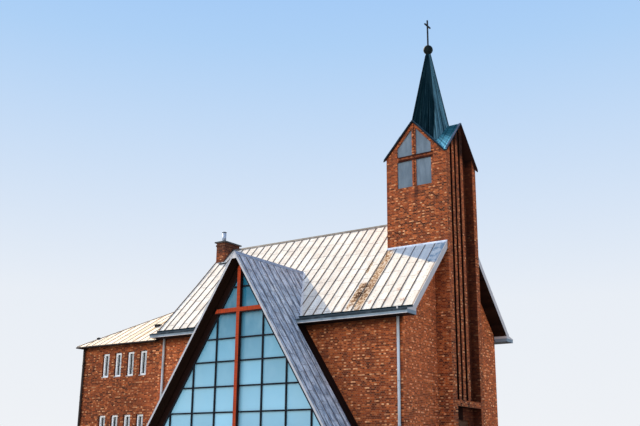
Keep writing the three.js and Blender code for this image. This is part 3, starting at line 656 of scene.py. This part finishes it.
for node_name, node_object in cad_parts.items():
    look = next(m for part, m in NODE_LOOKS if part in node_name)
    node_object.data.materials.clear()
    node_object.data.materials.append(look)


# New pieces

SIDES = (("near", -1), ("far", 1))
ALONG_X, ALONG_Y = (1, 0, 0), (0, 1, 0)
RIB_SINK = 0.004  # how far a rib's foot goes into its sheet


class Shape:
    """Collects closed bodies, then makes them one named piece. A side of -1 mirrors them in Y."""

    def __init__(self, side=1):
        self.side = side
        self.points = []
        self.faces = []

    def chain(self, *rings):
        """A closed body through a row of like rings of points."""
        n, base = len(rings[0]), len(self.points)
        last = base + n * (len(rings) - 1)
        self.points += [(x, y * self.side, z) for ring in rings for x, y, z in ring]
        self.faces += [list(reversed(range(base, base + n))), list(range(last, last + n))]
        for start in range(base, last, n):
            for i in range(n):
                a, b = start + i, start + (i + 1) % n
                self.faces.append([a, b, b + n, a + n])

    def box(self, x0, x1, y0, y1, z0, z1):
        ring = [(x0, y0), (x1, y0), (x1, y1), (x0, y1)]
        self.chain(*([(x, y, z) for x, y in ring] for z in (z0, z1)))

    def rib(self, path, across, width, lifts):
        """A thin upstand that follows a path, with the way up from it at each point."""
        half = Vector(across) * (width / 2)
        rings = []
        for point, lift in zip(path, lifts):
            foot = Vector(point) - lift.normalized() * RIB_SINK
            top = Vector(point) + lift
            rings.append([foot - half, foot + half, top + half, top - half])
        self.chain(*rings)

    def border(self, x0, x1, z0, z1, width, y0, y1):
        """Four bars inside the edges of an upright rectangle."""
        for a, b in ((x0, x0 + width), (x1 - width, x1)):
            self.box(a, b, y0, y1, z0, z1)
        for a, b in ((z0, z0 + width), (z1 - width, z1)):
            self.box(x0 + width, x1 - width, y0, y1, a, b)

    def make(self, name, material, slot="roof_metal", smooth=False, bevel=0.0):
        mesh = bpy.data.meshes.new(name)
        mesh.from_pydata(self.points, [], self.faces)
        piece = bpy.data.objects.new(name, mesh)
        bpy.context.scene.collection.objects.link(piece)
        mesh.materials.append(material)
        made = bmesh.new()
        made.from_mesh(mesh)
        bmesh.ops.recalc_face_normals(made, faces=made.faces)
        if bevel:
            sharp = [e for e in made.edges if len(e.link_faces) == 2 and e.calc_face_angle(0) > 0.6]
            bmesh.ops.bevel(made, geom=sharp, offset=bevel, segments=1, affect="EDGES", clamp_overlap=True)
        made.to_mesh(mesh)
        made.free()
        if smooth:
            for polygon in mesh.polygons:
                polygon.use_smooth = len(polygon.vertices) == 4
        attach(piece, "root")
        return piece


def circle(x, y, z, radius, sides):
    turns = [2 * math.pi * i / sides for i in range(sides)]
    return [(x + radius * math.cos(turn), y + radius * math.sin(turn), z) for turn in turns]


def nave_slope(x, y_from, y_to):
    """Points down the nave slope at an x, and the outward normal at each."""
    ys = [y_from, *(y for y, _ in ROOF_LINE if y_from + 0.02 < y < y_to - 0.02), y_to]
    path = [(x, y, roof_z(y)) for y in ys]
    normals = []
    for a, b in zip([ys[0], *ys], [*ys[1:], ys[-1]]):
        normals.append(Vector((0, roof_z(a) - roof_z(b), b - a)).normalized())
    return path, normals


def seam_places(low, high):
    """Where the standing seams lie along X, between two places."""
    first = math.ceil((low - SEAM_X) / SEAM_PITCH)
    last = math.floor((high - SEAM_X) / SEAM_PITCH)
    return [SEAM_X + k * SEAM_PITCH for k in range(first, last + 1)]


def nave_seams(name, side):
    shape = Shape(side)
    for x in seam_places(NAVE_BACK + 0.22, NAVE_FRONT - 0.3):
        start, end = 0.11, GUTTER_Y - 0.03
        if TOWER_X0 - 0.05 < x < TOWER_X1:
            start = TOWER_Y + 0.03
        # A seam that meets the A-frame stops at the valley.
        if frame_z(x) > roof_z(end):
            end = roof_y(frame_z(x)) - 0.03
        if end - start > 0.15:
            path, normals = nave_slope(x, start, end)
            shape.rib(path, ALONG_X, SEAM_W, [normal * SEAM_H for normal in normals])
    shape.make(f"nave_seams_{name}", SEAM)


def nave_verges(name, side):
    """A folded trim with a raised lip along each open edge of the slope, dark at the back."""
    edges = (
        ("front", NAVE_FRONT - 0.03, NAVE_FRONT, TOWER_Y + 0.05, TRIM),
        ("back", NAVE_BACK + 0.05, NAVE_BACK, 0.02, SEAM),
    )
    for end, inner, outer, top, look in edges:
        shape = Shape(side)
        lip = outer - math.copysign(0.012, outer - inner)
        for x, width, rise in (((inner + outer) / 2, abs(outer - inner), 0.01), (lip, 0.02, 0.04)):
            path, normals = nave_slope(x, top, GUTTER_Y - 0.02)
            shape.rib(path, ALONG_X, width, [normal * rise for normal in normals])
        shape.make(f"nave_verge_{end}_{name}", look)


def frame_point(direction, y, z):
    """A point on the A-frame's outer slope, to the +X or -X side."""
    return FRAME_X + direction * FRAME_SPREAD * (FRAME_APEX - z), y, z


def frame_up(direction, rise):
    slope = Vector((1, 0, FRAME_SPREAD)).normalized()
    return Vector((direction * slope.x, 0, slope.z)) * rise


def transept_seams(name, side):
    """Ribs down both slopes of an A-frame, from its ridge cap to the ground or the valley."""
    shape = Shape(side)
    z_start = FRAME_APEX - 0.14
    y = FRAME_SEAM_Y
    while y > 2.6:
        z_end = 0.03 if y > EAVES_Y - 0.02 else max(roof_z(y) + 0.02, 7.4)
        if z_start - z_end > 0.15:
            for direction in (-1, 1):
                path = [frame_point(direction, y, z) for z in (z_start, z_end)]
                shape.rib(path, ALONG_Y, SEAM_W, [frame_up(direction, SEAM_H)] * 2)
        y -= FRAME_SEAM_PITCH
    shape.make(f"transept_{name}_seams", SEAM_GREY)


def transept_verges(name, side):
    """A folded band along the front edge of both slopes."""
    shape = Shape(side)
    for direction in (-1, 1):
        for inset, width, rise in ((0.025, 0.05, 0.006), (0.008, 0.016, 0.02)):
            y = FRAME_FRONT - inset
            path = [(FRAME_X + direction * 0.01, y, FRAME_APEX), frame_point(direction, y, 0.02)]
            shape.rib(path, ALONG_Y, width, [frame_up(direction, rise)] * 2)
    shape.make(f"transept_{name}_verge_trims", FRAME_TRIM)


def transept_tip_panel(name, side):
    """Light panel that closes the A-frame's tip at the front."""
    shape = Shape(side)
    low = 10.28
    half = FRAME_SPREAD * (FRAME_APEX - low) - 0.02
    ring = [(-half, low), (half, low), (0.0, FRAME_APEX - 0.03)]
    faces = (FRAME_FRONT - 0.004, FRAME_FRONT - 0.05)
    shape.chain(*([(FRAME_X + x, y, z) for x, z in ring] for y in faces))
    shape.make(f"transept_{name}_tip_panel", TRIM, "eaves_paint")


def valley_flashings(name, side):
    """Strips along the lines where the A-frame meets the nave slope."""
    shape = Shape(side)
    for direction in (-1, 1):
        run = direction * 0.14
        section = [(0, -0.004), (run, -0.004), (run, 0.008), (0, 0.012)]
        rings = []
        for distance in (2.52, 3.3, 4.2, 4.9, 5.4):
            x, y, z = frame_point(direction, distance, roof_z(distance))
            rings.append([(x + out, y, z + up) for out, up in section])
        shape.chain(*rings)
    shape.make(f"valley_flashings_{name}", TRIM)


def wing_seams():
    """Standing seams on the wing's two slopes, then on its hipped end."""
    shape = Shape()
    normal = Vector((0, WING_SLOPE, 1)).normalized() * SEAM_H
    for x in seam_places(WING_X0 + 0.2, NAVE_BACK - 0.05):
        start = WING_EAVES_Y - 0.03
        end = max(0.03, WING_EAVES_Y - (x - WING_X0)) + 0.03
        if start - end > 0.1:
            for side in (-1, 1):
                path = [(x, side * y, WING_RIDGE_Z - WING_SLOPE * y) for y in (start, end)]
                shape.rib(path, ALONG_X, SEAM_W, [Vector((0, side * normal.y, normal.z))] * 2)
    y = -WING_EAVES_Y + 0.3
    while y < WING_EAVES_Y:
        reach = WING_EAVES_Y - abs(y) - 0.03
        if reach > 0.15:
            path = [(WING_X0 + d, y, WING_EAVES_Z + WING_SLOPE * d) for d in (0.03, reach)]
            shape.rib(path, ALONG_Y, SEAM_W, [Vector((-normal.y, 0, normal.z))] * 2)
        y += SEAM_PITCH
    shape.make("wing_seams", SEAM_TAN)


def wing_hip_caps():
    """Rounded caps on the wing's two hips and its ridge."""
    shape = Shape()
    foot_x, foot_y, foot_z = WING_X0 + 0.04, WING_EAVES_Y - 0.04, WING_EAVES_Z + 0.03
    top = Vector((WING_X0 + WING_EAVES_Y, 0, WING_RIDGE_Z))
    lines = [
        (Vector((foot_x, -foot_y, foot_z)), top),
        (Vector((foot_x, foot_y, foot_z)), top),
        (top, Vector((NAVE_BACK + 0.02, 0, WING_RIDGE_Z))),
    ]
    turns = [math.pi * i / 6 for i in range(7)]
    for a, b in lines:
        across = (b - a).cross(Vector((0, 0, 1))).normalized() * 0.045
        arch = [across * math.cos(t) + Vector((0, 0, 0.055 * math.sin(t) - 0.02)) for t in turns]
        shape.chain(*([end + point for point in arch] for end in (a, b)))
    shape.make("wing_hip_caps", SEAM_BROWN)


def wing_fascia_trim():
    """A dark lip along the wing's fascia, painted shade in the line under its roof's edge."""
    shape = Shape()
    low, high = 7.058, 7.125
    for side in (-1, 1):
        y0, y1 = side * (WING_EAVES_Y - 0.01), side * (WING_EAVES_Y + 0.012)
        shape.box(WING_X0 + 0.002, NAVE_BACK - 0.02, y0, y1, low, high)
    shape.box(WING_X0 + 0.001, WING_X0 + 0.012, -WING_EAVES_Y, WING_EAVES_Y, low, high)
    shape.make("wing_fascia_trim", DARK_TRIM)


def wing_roof_vent():
    """A small dark vent on the wing's near slope, and a bare stub on its hip."""
    shape = Shape()
    x, y = -6.78, -3.64
    z = WING_RIDGE_Z + WING_SLOPE * y
    for half_x, half_y, low, high in ((0.17, 0.1, -0.1, 0.09), (0.2, 0.13, 0.09, 0.115)):
        shape.box(x - half_x, x + half_x, y - half_y, y + half_y, z + low, z + high)
    along = 0.895
    x, y, z = WING_X0 + along, along - WING_EAVES_Y, WING_EAVES_Z + WING_SLOPE * along
    shape.box(x - 0.08, x + 0.08, y - 0.07, y + 0.07, z - 0.02, z + 0.1)
    shape.make("wing_roof_vent", BLACK, "cross_metal", bevel=0.006)


def upstand(shape, x0, x1, ys, rise):
    """A strip across the nave roof that follows its slopes."""
    rings = []
    for y in ys:
        low, high = roof_z(y) - 0.02, roof_z(y) + rise
        rings.append([(x0, y, low), (x1, y, low), (x1, y, high), (x0, y, high)])
    shape.chain(*rings)


def tower_flashing():
    """Upstand and apron where the nave roof meets the tower."""
    shape = Shape()
    foot = roof_z(TOWER_Y)
    out = TOWER_Y + 0.045
    for side in (-1, 1):
        shape.box(
            TOWER_X0, NAVE_FRONT, side * (TOWER_Y + 0.002), side * (TOWER_Y + 0.012), foot - 0.03, foot + 0.07
        )
        apron = [(TOWER_Y, foot + 0.004), (out, roof_z(out) + 0.004), (out, roof_z(out) + 0.016)]
        apron.append((TOWER_Y, foot + 0.03))
        shape.chain(*([(x, side * y, z) for y, z in apron] for x in (TOWER_X0, NAVE_FRONT)))
    ys = (-TOWER_Y - 0.05, -0.2, 0.2, TOWER_Y + 0.05)
    upstand(shape, TOWER_X0 - 0.02, TOWER_X0 - 0.002, ys, 0.09)
    shape.make("tower_flashing", FLASHING)


TOWER_MIDDLE = (TOWER_XC, 0.0)
TOWER_RIDGES = (RIDGE_X, RIDGE_Y)


def tower_rib(shape, run_axis, along, hand, drops, rise, width):
    """A rib down one of the tower roof's slopes, between two level distances from its ridge."""
    across_axis = 1 - run_axis
    normal = Vector((TOWER_SLOPE, 0, 1)).normalized() * rise
    up = Vector((0, 0, normal.z))
    up[across_axis] = hand * normal.x
    path = []
    for drop in drops:
        point = Vector((0, 0, TOWER_APEX - TOWER_SLOPE * drop))
        point[run_axis] = along
        point[across_axis] = TOWER_RIDGES[across_axis] + hand * drop
        path.append(point)
    shape.rib(path, (ALONG_X, ALONG_Y)[run_axis], width, [up, up])


def tower_roof_seams():
    """Standing seams down the eight small slopes."""
    shape = Shape()
    for run_axis in (1, 0):
        for offset in (-1.62, -1.25, -0.88, 0.88, 1.25, 1.62):
            along = TOWER_MIDDLE[run_axis] + offset
            drops = (0.02, abs(along - TOWER_RIDGES[run_axis]) - 0.02)
            for hand in (-1, 1):
                tower_rib(shape, run_axis, along, hand, drops, 0.022, 0.02)
    shape.make("tower_roof_seams", TEAL, "tower_metal")


def tower_verges():
    """Folded edges along the four gables."""
    reach = TOWER_Y + TOWER_OVERHANG
    for name, look, run_axis in (("side", VERGE_TEAL, 1), ("end", VERGE_DARK, 0)):
        shape = Shape()
        across_axis = 1 - run_axis
        for end in (-1, 1):
            along = TOWER_MIDDLE[run_axis] + end * (reach - 0.052)
            fall = abs(along - TOWER_RIDGES[run_axis]) + 0.02
            for hand in (-1, 1):
                tip = TOWER_MIDDLE[across_axis] + hand * (reach - 0.03)
                drops = (0.0, min(abs(tip - TOWER_RIDGES[across_axis]), fall))
                tower_rib(shape, run_axis, along, hand, drops, 0.03, 0.1)
        shape.make(f"tower_verge_trims_{name}", look, "tower_metal")


SPIRE_LOW, SPIRE_HIGH = (16.9, 1.43), (22.9, 0.13)  # heights and radii


def spire_radius(z):
    (z0, r0), (z1, r1) = SPIRE_LOW, SPIRE_HIGH
    return r0 + (r1 - r0) * (z - z0) / (z1 - z0)


def spire_seams():
    """Raised seams on the spire's eight corners and one down the middle of each face."""
    shape = Shape()
    for i in range(16):
        angle = math.pi * i / 8
        out = Vector((math.cos(angle), math.sin(angle), 0))
        shrink, top, width, rise = (1.0, 22.85, 0.03, 0.03)
        if i % 2:
            shrink, top, width, rise = (math.cos(math.pi / 8), 21.4, 0.018, 0.02)
        # The seam starts where it leaves the cross-gabled roof below.
        foot = 17.0
        while foot < 18.3:
            radius = spire_radius(foot) * shrink
            dx, dy = abs(TOWER_XC + out.x * radius - RIDGE_X), abs(out.y * radius - RIDGE_Y)
            if foot > TOWER_APEX - TOWER_SLOPE * min(dx, dy):
                break
            foot += 0.02
        centre = Vector((TOWER_XC, 0, 0))
        path = []
        for z in (foot + 0.01, top):
            path.append(centre + Vector((0, 0, z)) + out * (spire_radius(z) * shrink))
        shape.rib(path, (-out.y, out.x, 0), width, [out * rise] * 2)
    shape.make("spire_seams", SPIRE_SHEET, "tower_metal")


def turned(name, profile, centre, material, slot, sides, replaces=()):
    """A round piece from a profile of radius and height."""
    shape = Shape()
    shape.chain(*(circle(*centre, z, radius, sides) for radius, z in profile))
    piece = shape.make(name, material, slot, smooth=True)
    if replaces:
        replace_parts(piece, *replaces)


def spire_ball():
    radius, height, neck = 0.27, 23.2, 22.985
    profile = [(0.13, 22.9), (0.15, 22.92), (0.15, 22.95), (0.1, 22.965), (0.09, 22.98)]
    steps = 18
    for i in range(1, steps):
        turn = math.pi * i / steps
        z = height - radius * math.cos(turn)
        if z > neck:
            profile.append((max(radius * math.sin(turn), 0.02), z))
    profile.append((0.05, 23.475))
    turned("spire_ball_turned", profile, TOWER_MIDDLE, BALL, "tower_metal", 40, ("spire_ball",))


DOWNPIPES = (  # place along the building, top and look
    ("nave_front", -0.98 + SHIFT, 7.17, PIPE),
    ("nave_back", -15.93 + SHIFT, 7.17, PIPE),
    ("wing", -22.47 + SHIFT, 7.055, DARK_TRIM),
)


def downpipe(node, side, x, top, look):
    """Round pipe with sleeves, wall clips and a shoe at the foot."""
    shape = Shape(side)
    y, wall = WALL_Y + 0.105, WALL_Y + 0.001
    radius = 0.068
    sleeves, clips = (2.2, 4.2, 6.0), (1.5, 3.9, 6.2)

    def tube(*stops):
        shape.chain(*(circle(x, y + out, z, r, 20) for out, z, r in stops))

    tube((0.0, 0.3, radius), (0.0, top - 0.001, radius))
    tube((0.03, 0.07, radius * 0.96), (0.01, 0.16, radius * 0.98), (0.0, 0.31, radius * 0.98))
    for z in sleeves:
        tube((0.0, z, radius + 0.006), (0.0, z + 0.09, radius + 0.006))
    for z in clips:
        tube((0.0, z - 0.015, radius + 0.009), (0.0, z + 0.015, radius + 0.009))
        shape.box(x - 0.012, x + 0.012, wall, y - radius * 0.9, z - 0.012, z + 0.012)
        shape.box(x - 0.03, x + 0.03, wall, wall + 0.006, z - 0.03, z + 0.03)
    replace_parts(shape.make(f"{node}_piped", look, "pipe_metal", smooth=True), node)


WINDOW_X = [-20.66 + SHIFT + 1.015 * i for i in range(4)]
WINDOW_W, WINDOW_H = 0.56, 1.37
WINDOW_SILLS = {"upper": 5.28, "lower": 1.75}
OUTER_BAR, SASH_BAR = 0.055, 0.045
CURTAIN_GAP = (0.145, 0.265)  # from the window's left edge


def wing_windows(name, side, storey):
    """Four white frames with a casement, a curtain behind the glass, and a metal sill outside."""
    z0 = WINDOW_SILLS[storey]
    z1 = z0 + WINDOW_H
    front = WALL_Y - 0.11
    back = front - 0.07
    inner = OUTER_BAR + SASH_BAR
    frames, panes, sills, curtains = (Shape(side) for _ in range(4))
    for x in WINDOW_X:
        left, right = x - WINDOW_W / 2 + 0.001, x + WINDOW_W / 2 - 0.001
        frames.border(left, right, z0, z1, OUTER_BAR, front, back)
        sash = (left + OUTER_BAR, right - OUTER_BAR, z0 + OUTER_BAR, z1 - OUTER_BAR)
        frames.border(*sash, SASH_BAR, front + 0.012, back)
        panes.box(left + inner, right - inner, front - 0.03, front - 0.036, z0 + inner, z1 - inner)
        sills.box(left, right, WALL_Y + 0.02, front + 0.002, z0 + 0.001, z0 + 0.012)
        sills.box(left, right, WALL_Y + 0.014, WALL_Y + 0.021, z0 - 0.02, z0 + 0.012)
        # The curtains leave one dark gap, a quarter of the way across.
        spans = ((left + inner, left + CURTAIN_GAP[0]), (left + CURTAIN_GAP[1], right - inner))
        for start, end in spans:
            folds = max(1, round((end - start) / 0.026))
            fold = (end - start) / folds
            for i in range(folds):
                cx = start + fold * (i + 0.5)
                depth = front - 0.042 - 0.005 * (i % 2)
                reach = (cx - fold * 0.49, cx + fold * 0.49, depth, depth - 0.005)
                curtains.box(*reach, z0 + inner, z1 - inner)
    node = f"wing_windows_{name}_{storey}"
    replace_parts(frames.make(f"{node}_frames", WHITE, "white_frame", bevel=0.003), node)
    panes.make(f"{node}_panes", PANE, "glass")
    sills.make(f"{node}_sills", TRIM, "eaves_paint")
    curtains.make(f"{node}_curtains", CURTAIN, "white_frame")


def entrance_door():
    """Two panelled leaves with rails, handles and hinges in a deep frame."""
    face = -0.45 - 0.12 + SHIFT
    half, low, high = 0.899, 0.3, 2.699
    stile, z0, z1 = 0.11, low + 0.04, high - 0.07
    wood, metal = Shape(), Shape()
    wood.box(face - 0.09, face, -half, half, low, high)
    for y0, y1, hinge_y in ((-half + 0.07, -0.006, -half + 0.07), (0.006, half - 0.07, half - 0.07)):
        wood.box(face - 0.01, face + 0.02, y0, y1, z0, z1)
        for a, b in ((y0, y0 + stile), (y1 - stile, y1)):
            wood.box(face, face + 0.045, a, b, z0, z1)
        for a, b in ((z0, z0 + 0.2), (z0 + 0.95, z0 + 1.07), (z1 - 0.12, z1)):
            wood.box(face, face + 0.044, y0 + stile, y1 - stile, a, b)
        for a, b in ((z0 + 0.2, z0 + 0.95), (z0 + 1.07, z1 - 0.12)):
            wood.box(face, face + 0.034, y0 + stile + 0.06, y1 - stile - 0.06, a + 0.06, b - 0.06)
        for z in (z0 + 0.25, z1 - 0.25):
            metal.box(face, face + 0.052, hinge_y - 0.015, hinge_y + 0.015, z - 0.06, z + 0.06)
    plate_z, lever_z = (1.22, 1.46), (1.36, 1.38)
    for side in (-1, 1):
        y = side * 0.07
        metal.box(face + 0.02, face + 0.052, y - 0.022, y + 0.022, *plate_z)
        metal.box(face + 0.05, face + 0.095, y - 0.009, y + 0.009, *lever_z)
        metal.box(face + 0.08, face + 0.1, y - 0.01, y + side * 0.12, *lever_z)
    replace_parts(wood.make("entrance_door_leaves", DOOR, "door_wood", bevel=0.003), "entrance_door")
    metal.make("entrance_door_fittings", BRASS, "steel", bevel=0.002)


# Folded metal at the eaves: its span across the building, then its heights
STIFFENER = (5.4, 5.515, 7.612, 7.624)
EAVES_FOLD = (6.052, 6.06, 7.165, 7.192)
DRIP_EDGE = (6.052, 6.068, 7.3, 7.392)
LIP_BRACKET = (5.5, 5.56, 7.49, 7.62)
BRACKET_X = (10.48, 10.55)


def eaves_details(name, side):
    """Gutter stiffeners, and the folded edges of the boxed eaves."""
    edges, drips = Shape(side), Shape(side)
    x = NAVE_BACK + 0.3
    while x < NAVE_FRONT - 0.1:
        if frame_z(x) < 7.2:
            edges.box(x - 0.012, x + 0.012, *STIFFENER)
        x += 0.9
    reach = FRAME_SPREAD * (FRAME_APEX - 7.17) + 0.02
    for x0, x1 in ((NAVE_BACK, FRAME_X - reach), (FRAME_X + reach, NAVE_FRONT)):
        edges.box(x0, x1, *EAVES_FOLD)
        drips.box(x0, x1, *DRIP_EDGE)
    # A light bracket holds the lip over the front downpipe.
    edges.box(*BRACKET_X, *LIP_BRACKET)
    drips.make(f"nave_drip_edges_{name}", DRIP, "eaves_paint")
    edges.make(f"nave_eaves_edges_{name}", TRIM, "eaves_paint")


def chimney_details():
    """Flashing at the stack's foot, a snow bar below it, and the flue with its hat."""
    shape = Shape()
    x0, x1 = -16.3 + SHIFT, -15.65 + SHIFT
    near, far = -0.85, 0.55
    foot = roof_z(near)
    shape.box(x0 - 0.01, x1 + 0.01, near - 0.01, near - 0.002, foot - 0.02, foot + 0.025)
    upstand(shape, x1 + 0.002, x1 + 0.014, (near - 0.01, 0.0, far + 0.01), 0.1)
    bar_x0, bar_x1, bar_y = -4.52, -3.94, -1.02
    bar_z = roof_z(bar_y)
    shape.box(bar_x0, bar_x1, bar_y - 0.025, bar_y + 0.025, bar_z - 0.02, bar_z + 0.07)
    shape.make("chimney_flashing", DRIP)
    flue = (-16.085 + SHIFT, -0.42)
    pipe = [(0.1205, 13.732), (0.1205, 14.04), (0.125, 14.045), (0.125, 14.06), (0.1205, 14.065)]
    pipe += [(0.1205, 14.382), (0.02, 14.383)]
    turned("chimney_flue_pipe", pipe, flue, STEEL, "steel", 28, ("chimney_flue",))
    hat = [(0.03, 14.384), (0.148, 14.4), (0.15, 14.415), (0.1, 14.44), (0.02, 14.453)]
    turned("chimney_flue_hat", hat, flue, BLACK, "steel", 28)


SIDE_PIECES = (
    nave_seams, nave_verges, transept_seams, transept_verges, transept_tip_panel, valley_flashings,
    eaves_details,
)
SINGLE_PIECES = (
    wing_seams, wing_hip_caps, wing_fascia_trim, wing_roof_vent, tower_flashing, tower_roof_seams,
    tower_verges, spire_seams, spire_ball, entrance_door, chimney_details,
)

for side_name, side_sign in SIDES:
    for build in SIDE_PIECES:
        build(side_name, side_sign)
    for storey_name in WINDOW_SILLS:
        wing_windows(side_name, side_sign, storey_name)
    for pipe_name, *pipe in DOWNPIPES:
        downpipe(f"downpipe_{pipe_name}_{side_name}", side_sign, *pipe)

for build in SINGLE_PIECES:
    build()

# Stage: pale floor, soft sky, a key light and a wide soft fill


def stage_floor():
    size = 300.0
    corners = [(-size, -size), (size, -size), (size, size), (-size, size)]
    mesh = bpy.data.meshes.new("studio_floor")
    mesh.from_pydata([(x, y, -0.002) for x, y in corners], [], [(0, 1, 2, 3)])
    floor = bpy.data.objects.new("studio_floor", mesh)
    bpy.context.scene.collection.objects.link(floor)
    s = Surface("studio_floor", Roughness=0.9)
    s.paint = s.mix(s.noise(0.4, 2.0), (0.29, 0.3, 0.31), (0.32, 0.325, 0.33))
    mesh.materials.append(s.done())


def sky():
    """Pale at the horizon and bluer with height."""
    world = bpy.data.worlds.new("studio")
    bpy.context.scene.world = world
    world.use_nodes = True
    nodes, links = world.node_tree.nodes, world.node_tree.links
    coords = nodes.new("ShaderNodeTexCoord")
    split = nodes.new("ShaderNodeSeparateXYZ")
    ramp = nodes.new("ShaderNodeValToRGB")
    stops = [(0.0, (0.95, 0.97, 1.0)), (0.18, (0.88, 0.93, 1.0)), (0.45, (0.46, 0.69, 1.0))]
    stops += [(0.75, (0.14, 0.43, 1.0)), (1.0, (0.13, 0.38, 1.0))]
    set_ramp(ramp, stops)
    background = nodes["Background"]
    links.new(coords.outputs["Generated"], split.inputs[0])
    links.new(split.outputs["Z"], ramp.inputs[0])
    links.new(ramp.outputs[0], background.inputs["Color"])
    background.inputs["Strength"].default_value = 0.92


def lamp(name, travel, energy, color, angle):
    """A sun light from its direction of travel, with its angular size in degrees."""
    data = bpy.data.lights.new(name, "SUN")
    data.energy = energy
    data.color = color
    data.angle = math.radians(angle)
    light = bpy.data.objects.new(name, data)
    light.rotation_euler = Vector(travel).to_track_quat("-Z", "Y").to_euler()
    bpy.context.scene.collection.objects.link(light)


def camera():
    """The photograph's viewpoint, from its vanishing lines."""
    width_px, focal_px, sensor = 640.0, 886.13, 36.0
    yaw, pitch, roll = -0.6065, 0.2789, 0.0098
    viewpoint = (30.748, -41.062, 0.4)
    forward = Vector((math.sin(yaw) * math.cos(pitch), math.cos(yaw) * math.cos(pitch), math.sin(pitch)))
    right = Vector((math.cos(yaw), -math.sin(yaw), 0))
    up = right.cross(forward)
    right_rolled = right * math.cos(roll) + up * math.sin(roll)
    up_rolled = up * math.cos(roll) - right * math.sin(roll)
    data = bpy.data.cameras.new("camera")
    data.sensor_width = sensor
    data.lens = focal_px / width_px * sensor
    data.clip_end = 1000.0
    eye = bpy.data.objects.new("camera", data)
    turn = Matrix((right_rolled, up_rolled, -forward)).transposed().to_4x4()
    eye.matrix_world = Matrix.Translation(viewpoint) @ turn
    bpy.context.scene.collection.objects.link(eye)
    bpy.context.scene.camera = eye


stage_floor()
sky()
# The key light comes from behind the wing, the fill from the near side.
lamp("key", (0.934, -0.356, -0.738), 11.0, (1.0, 0.88, 0.68), 0.8)
lamp("fill", (0.1, 0.92, -0.4), 1.45, (0.97, 0.97, 1.0), 60.0)
camera()
bpy.context.scene.view_settings.view_transform = "Standard"
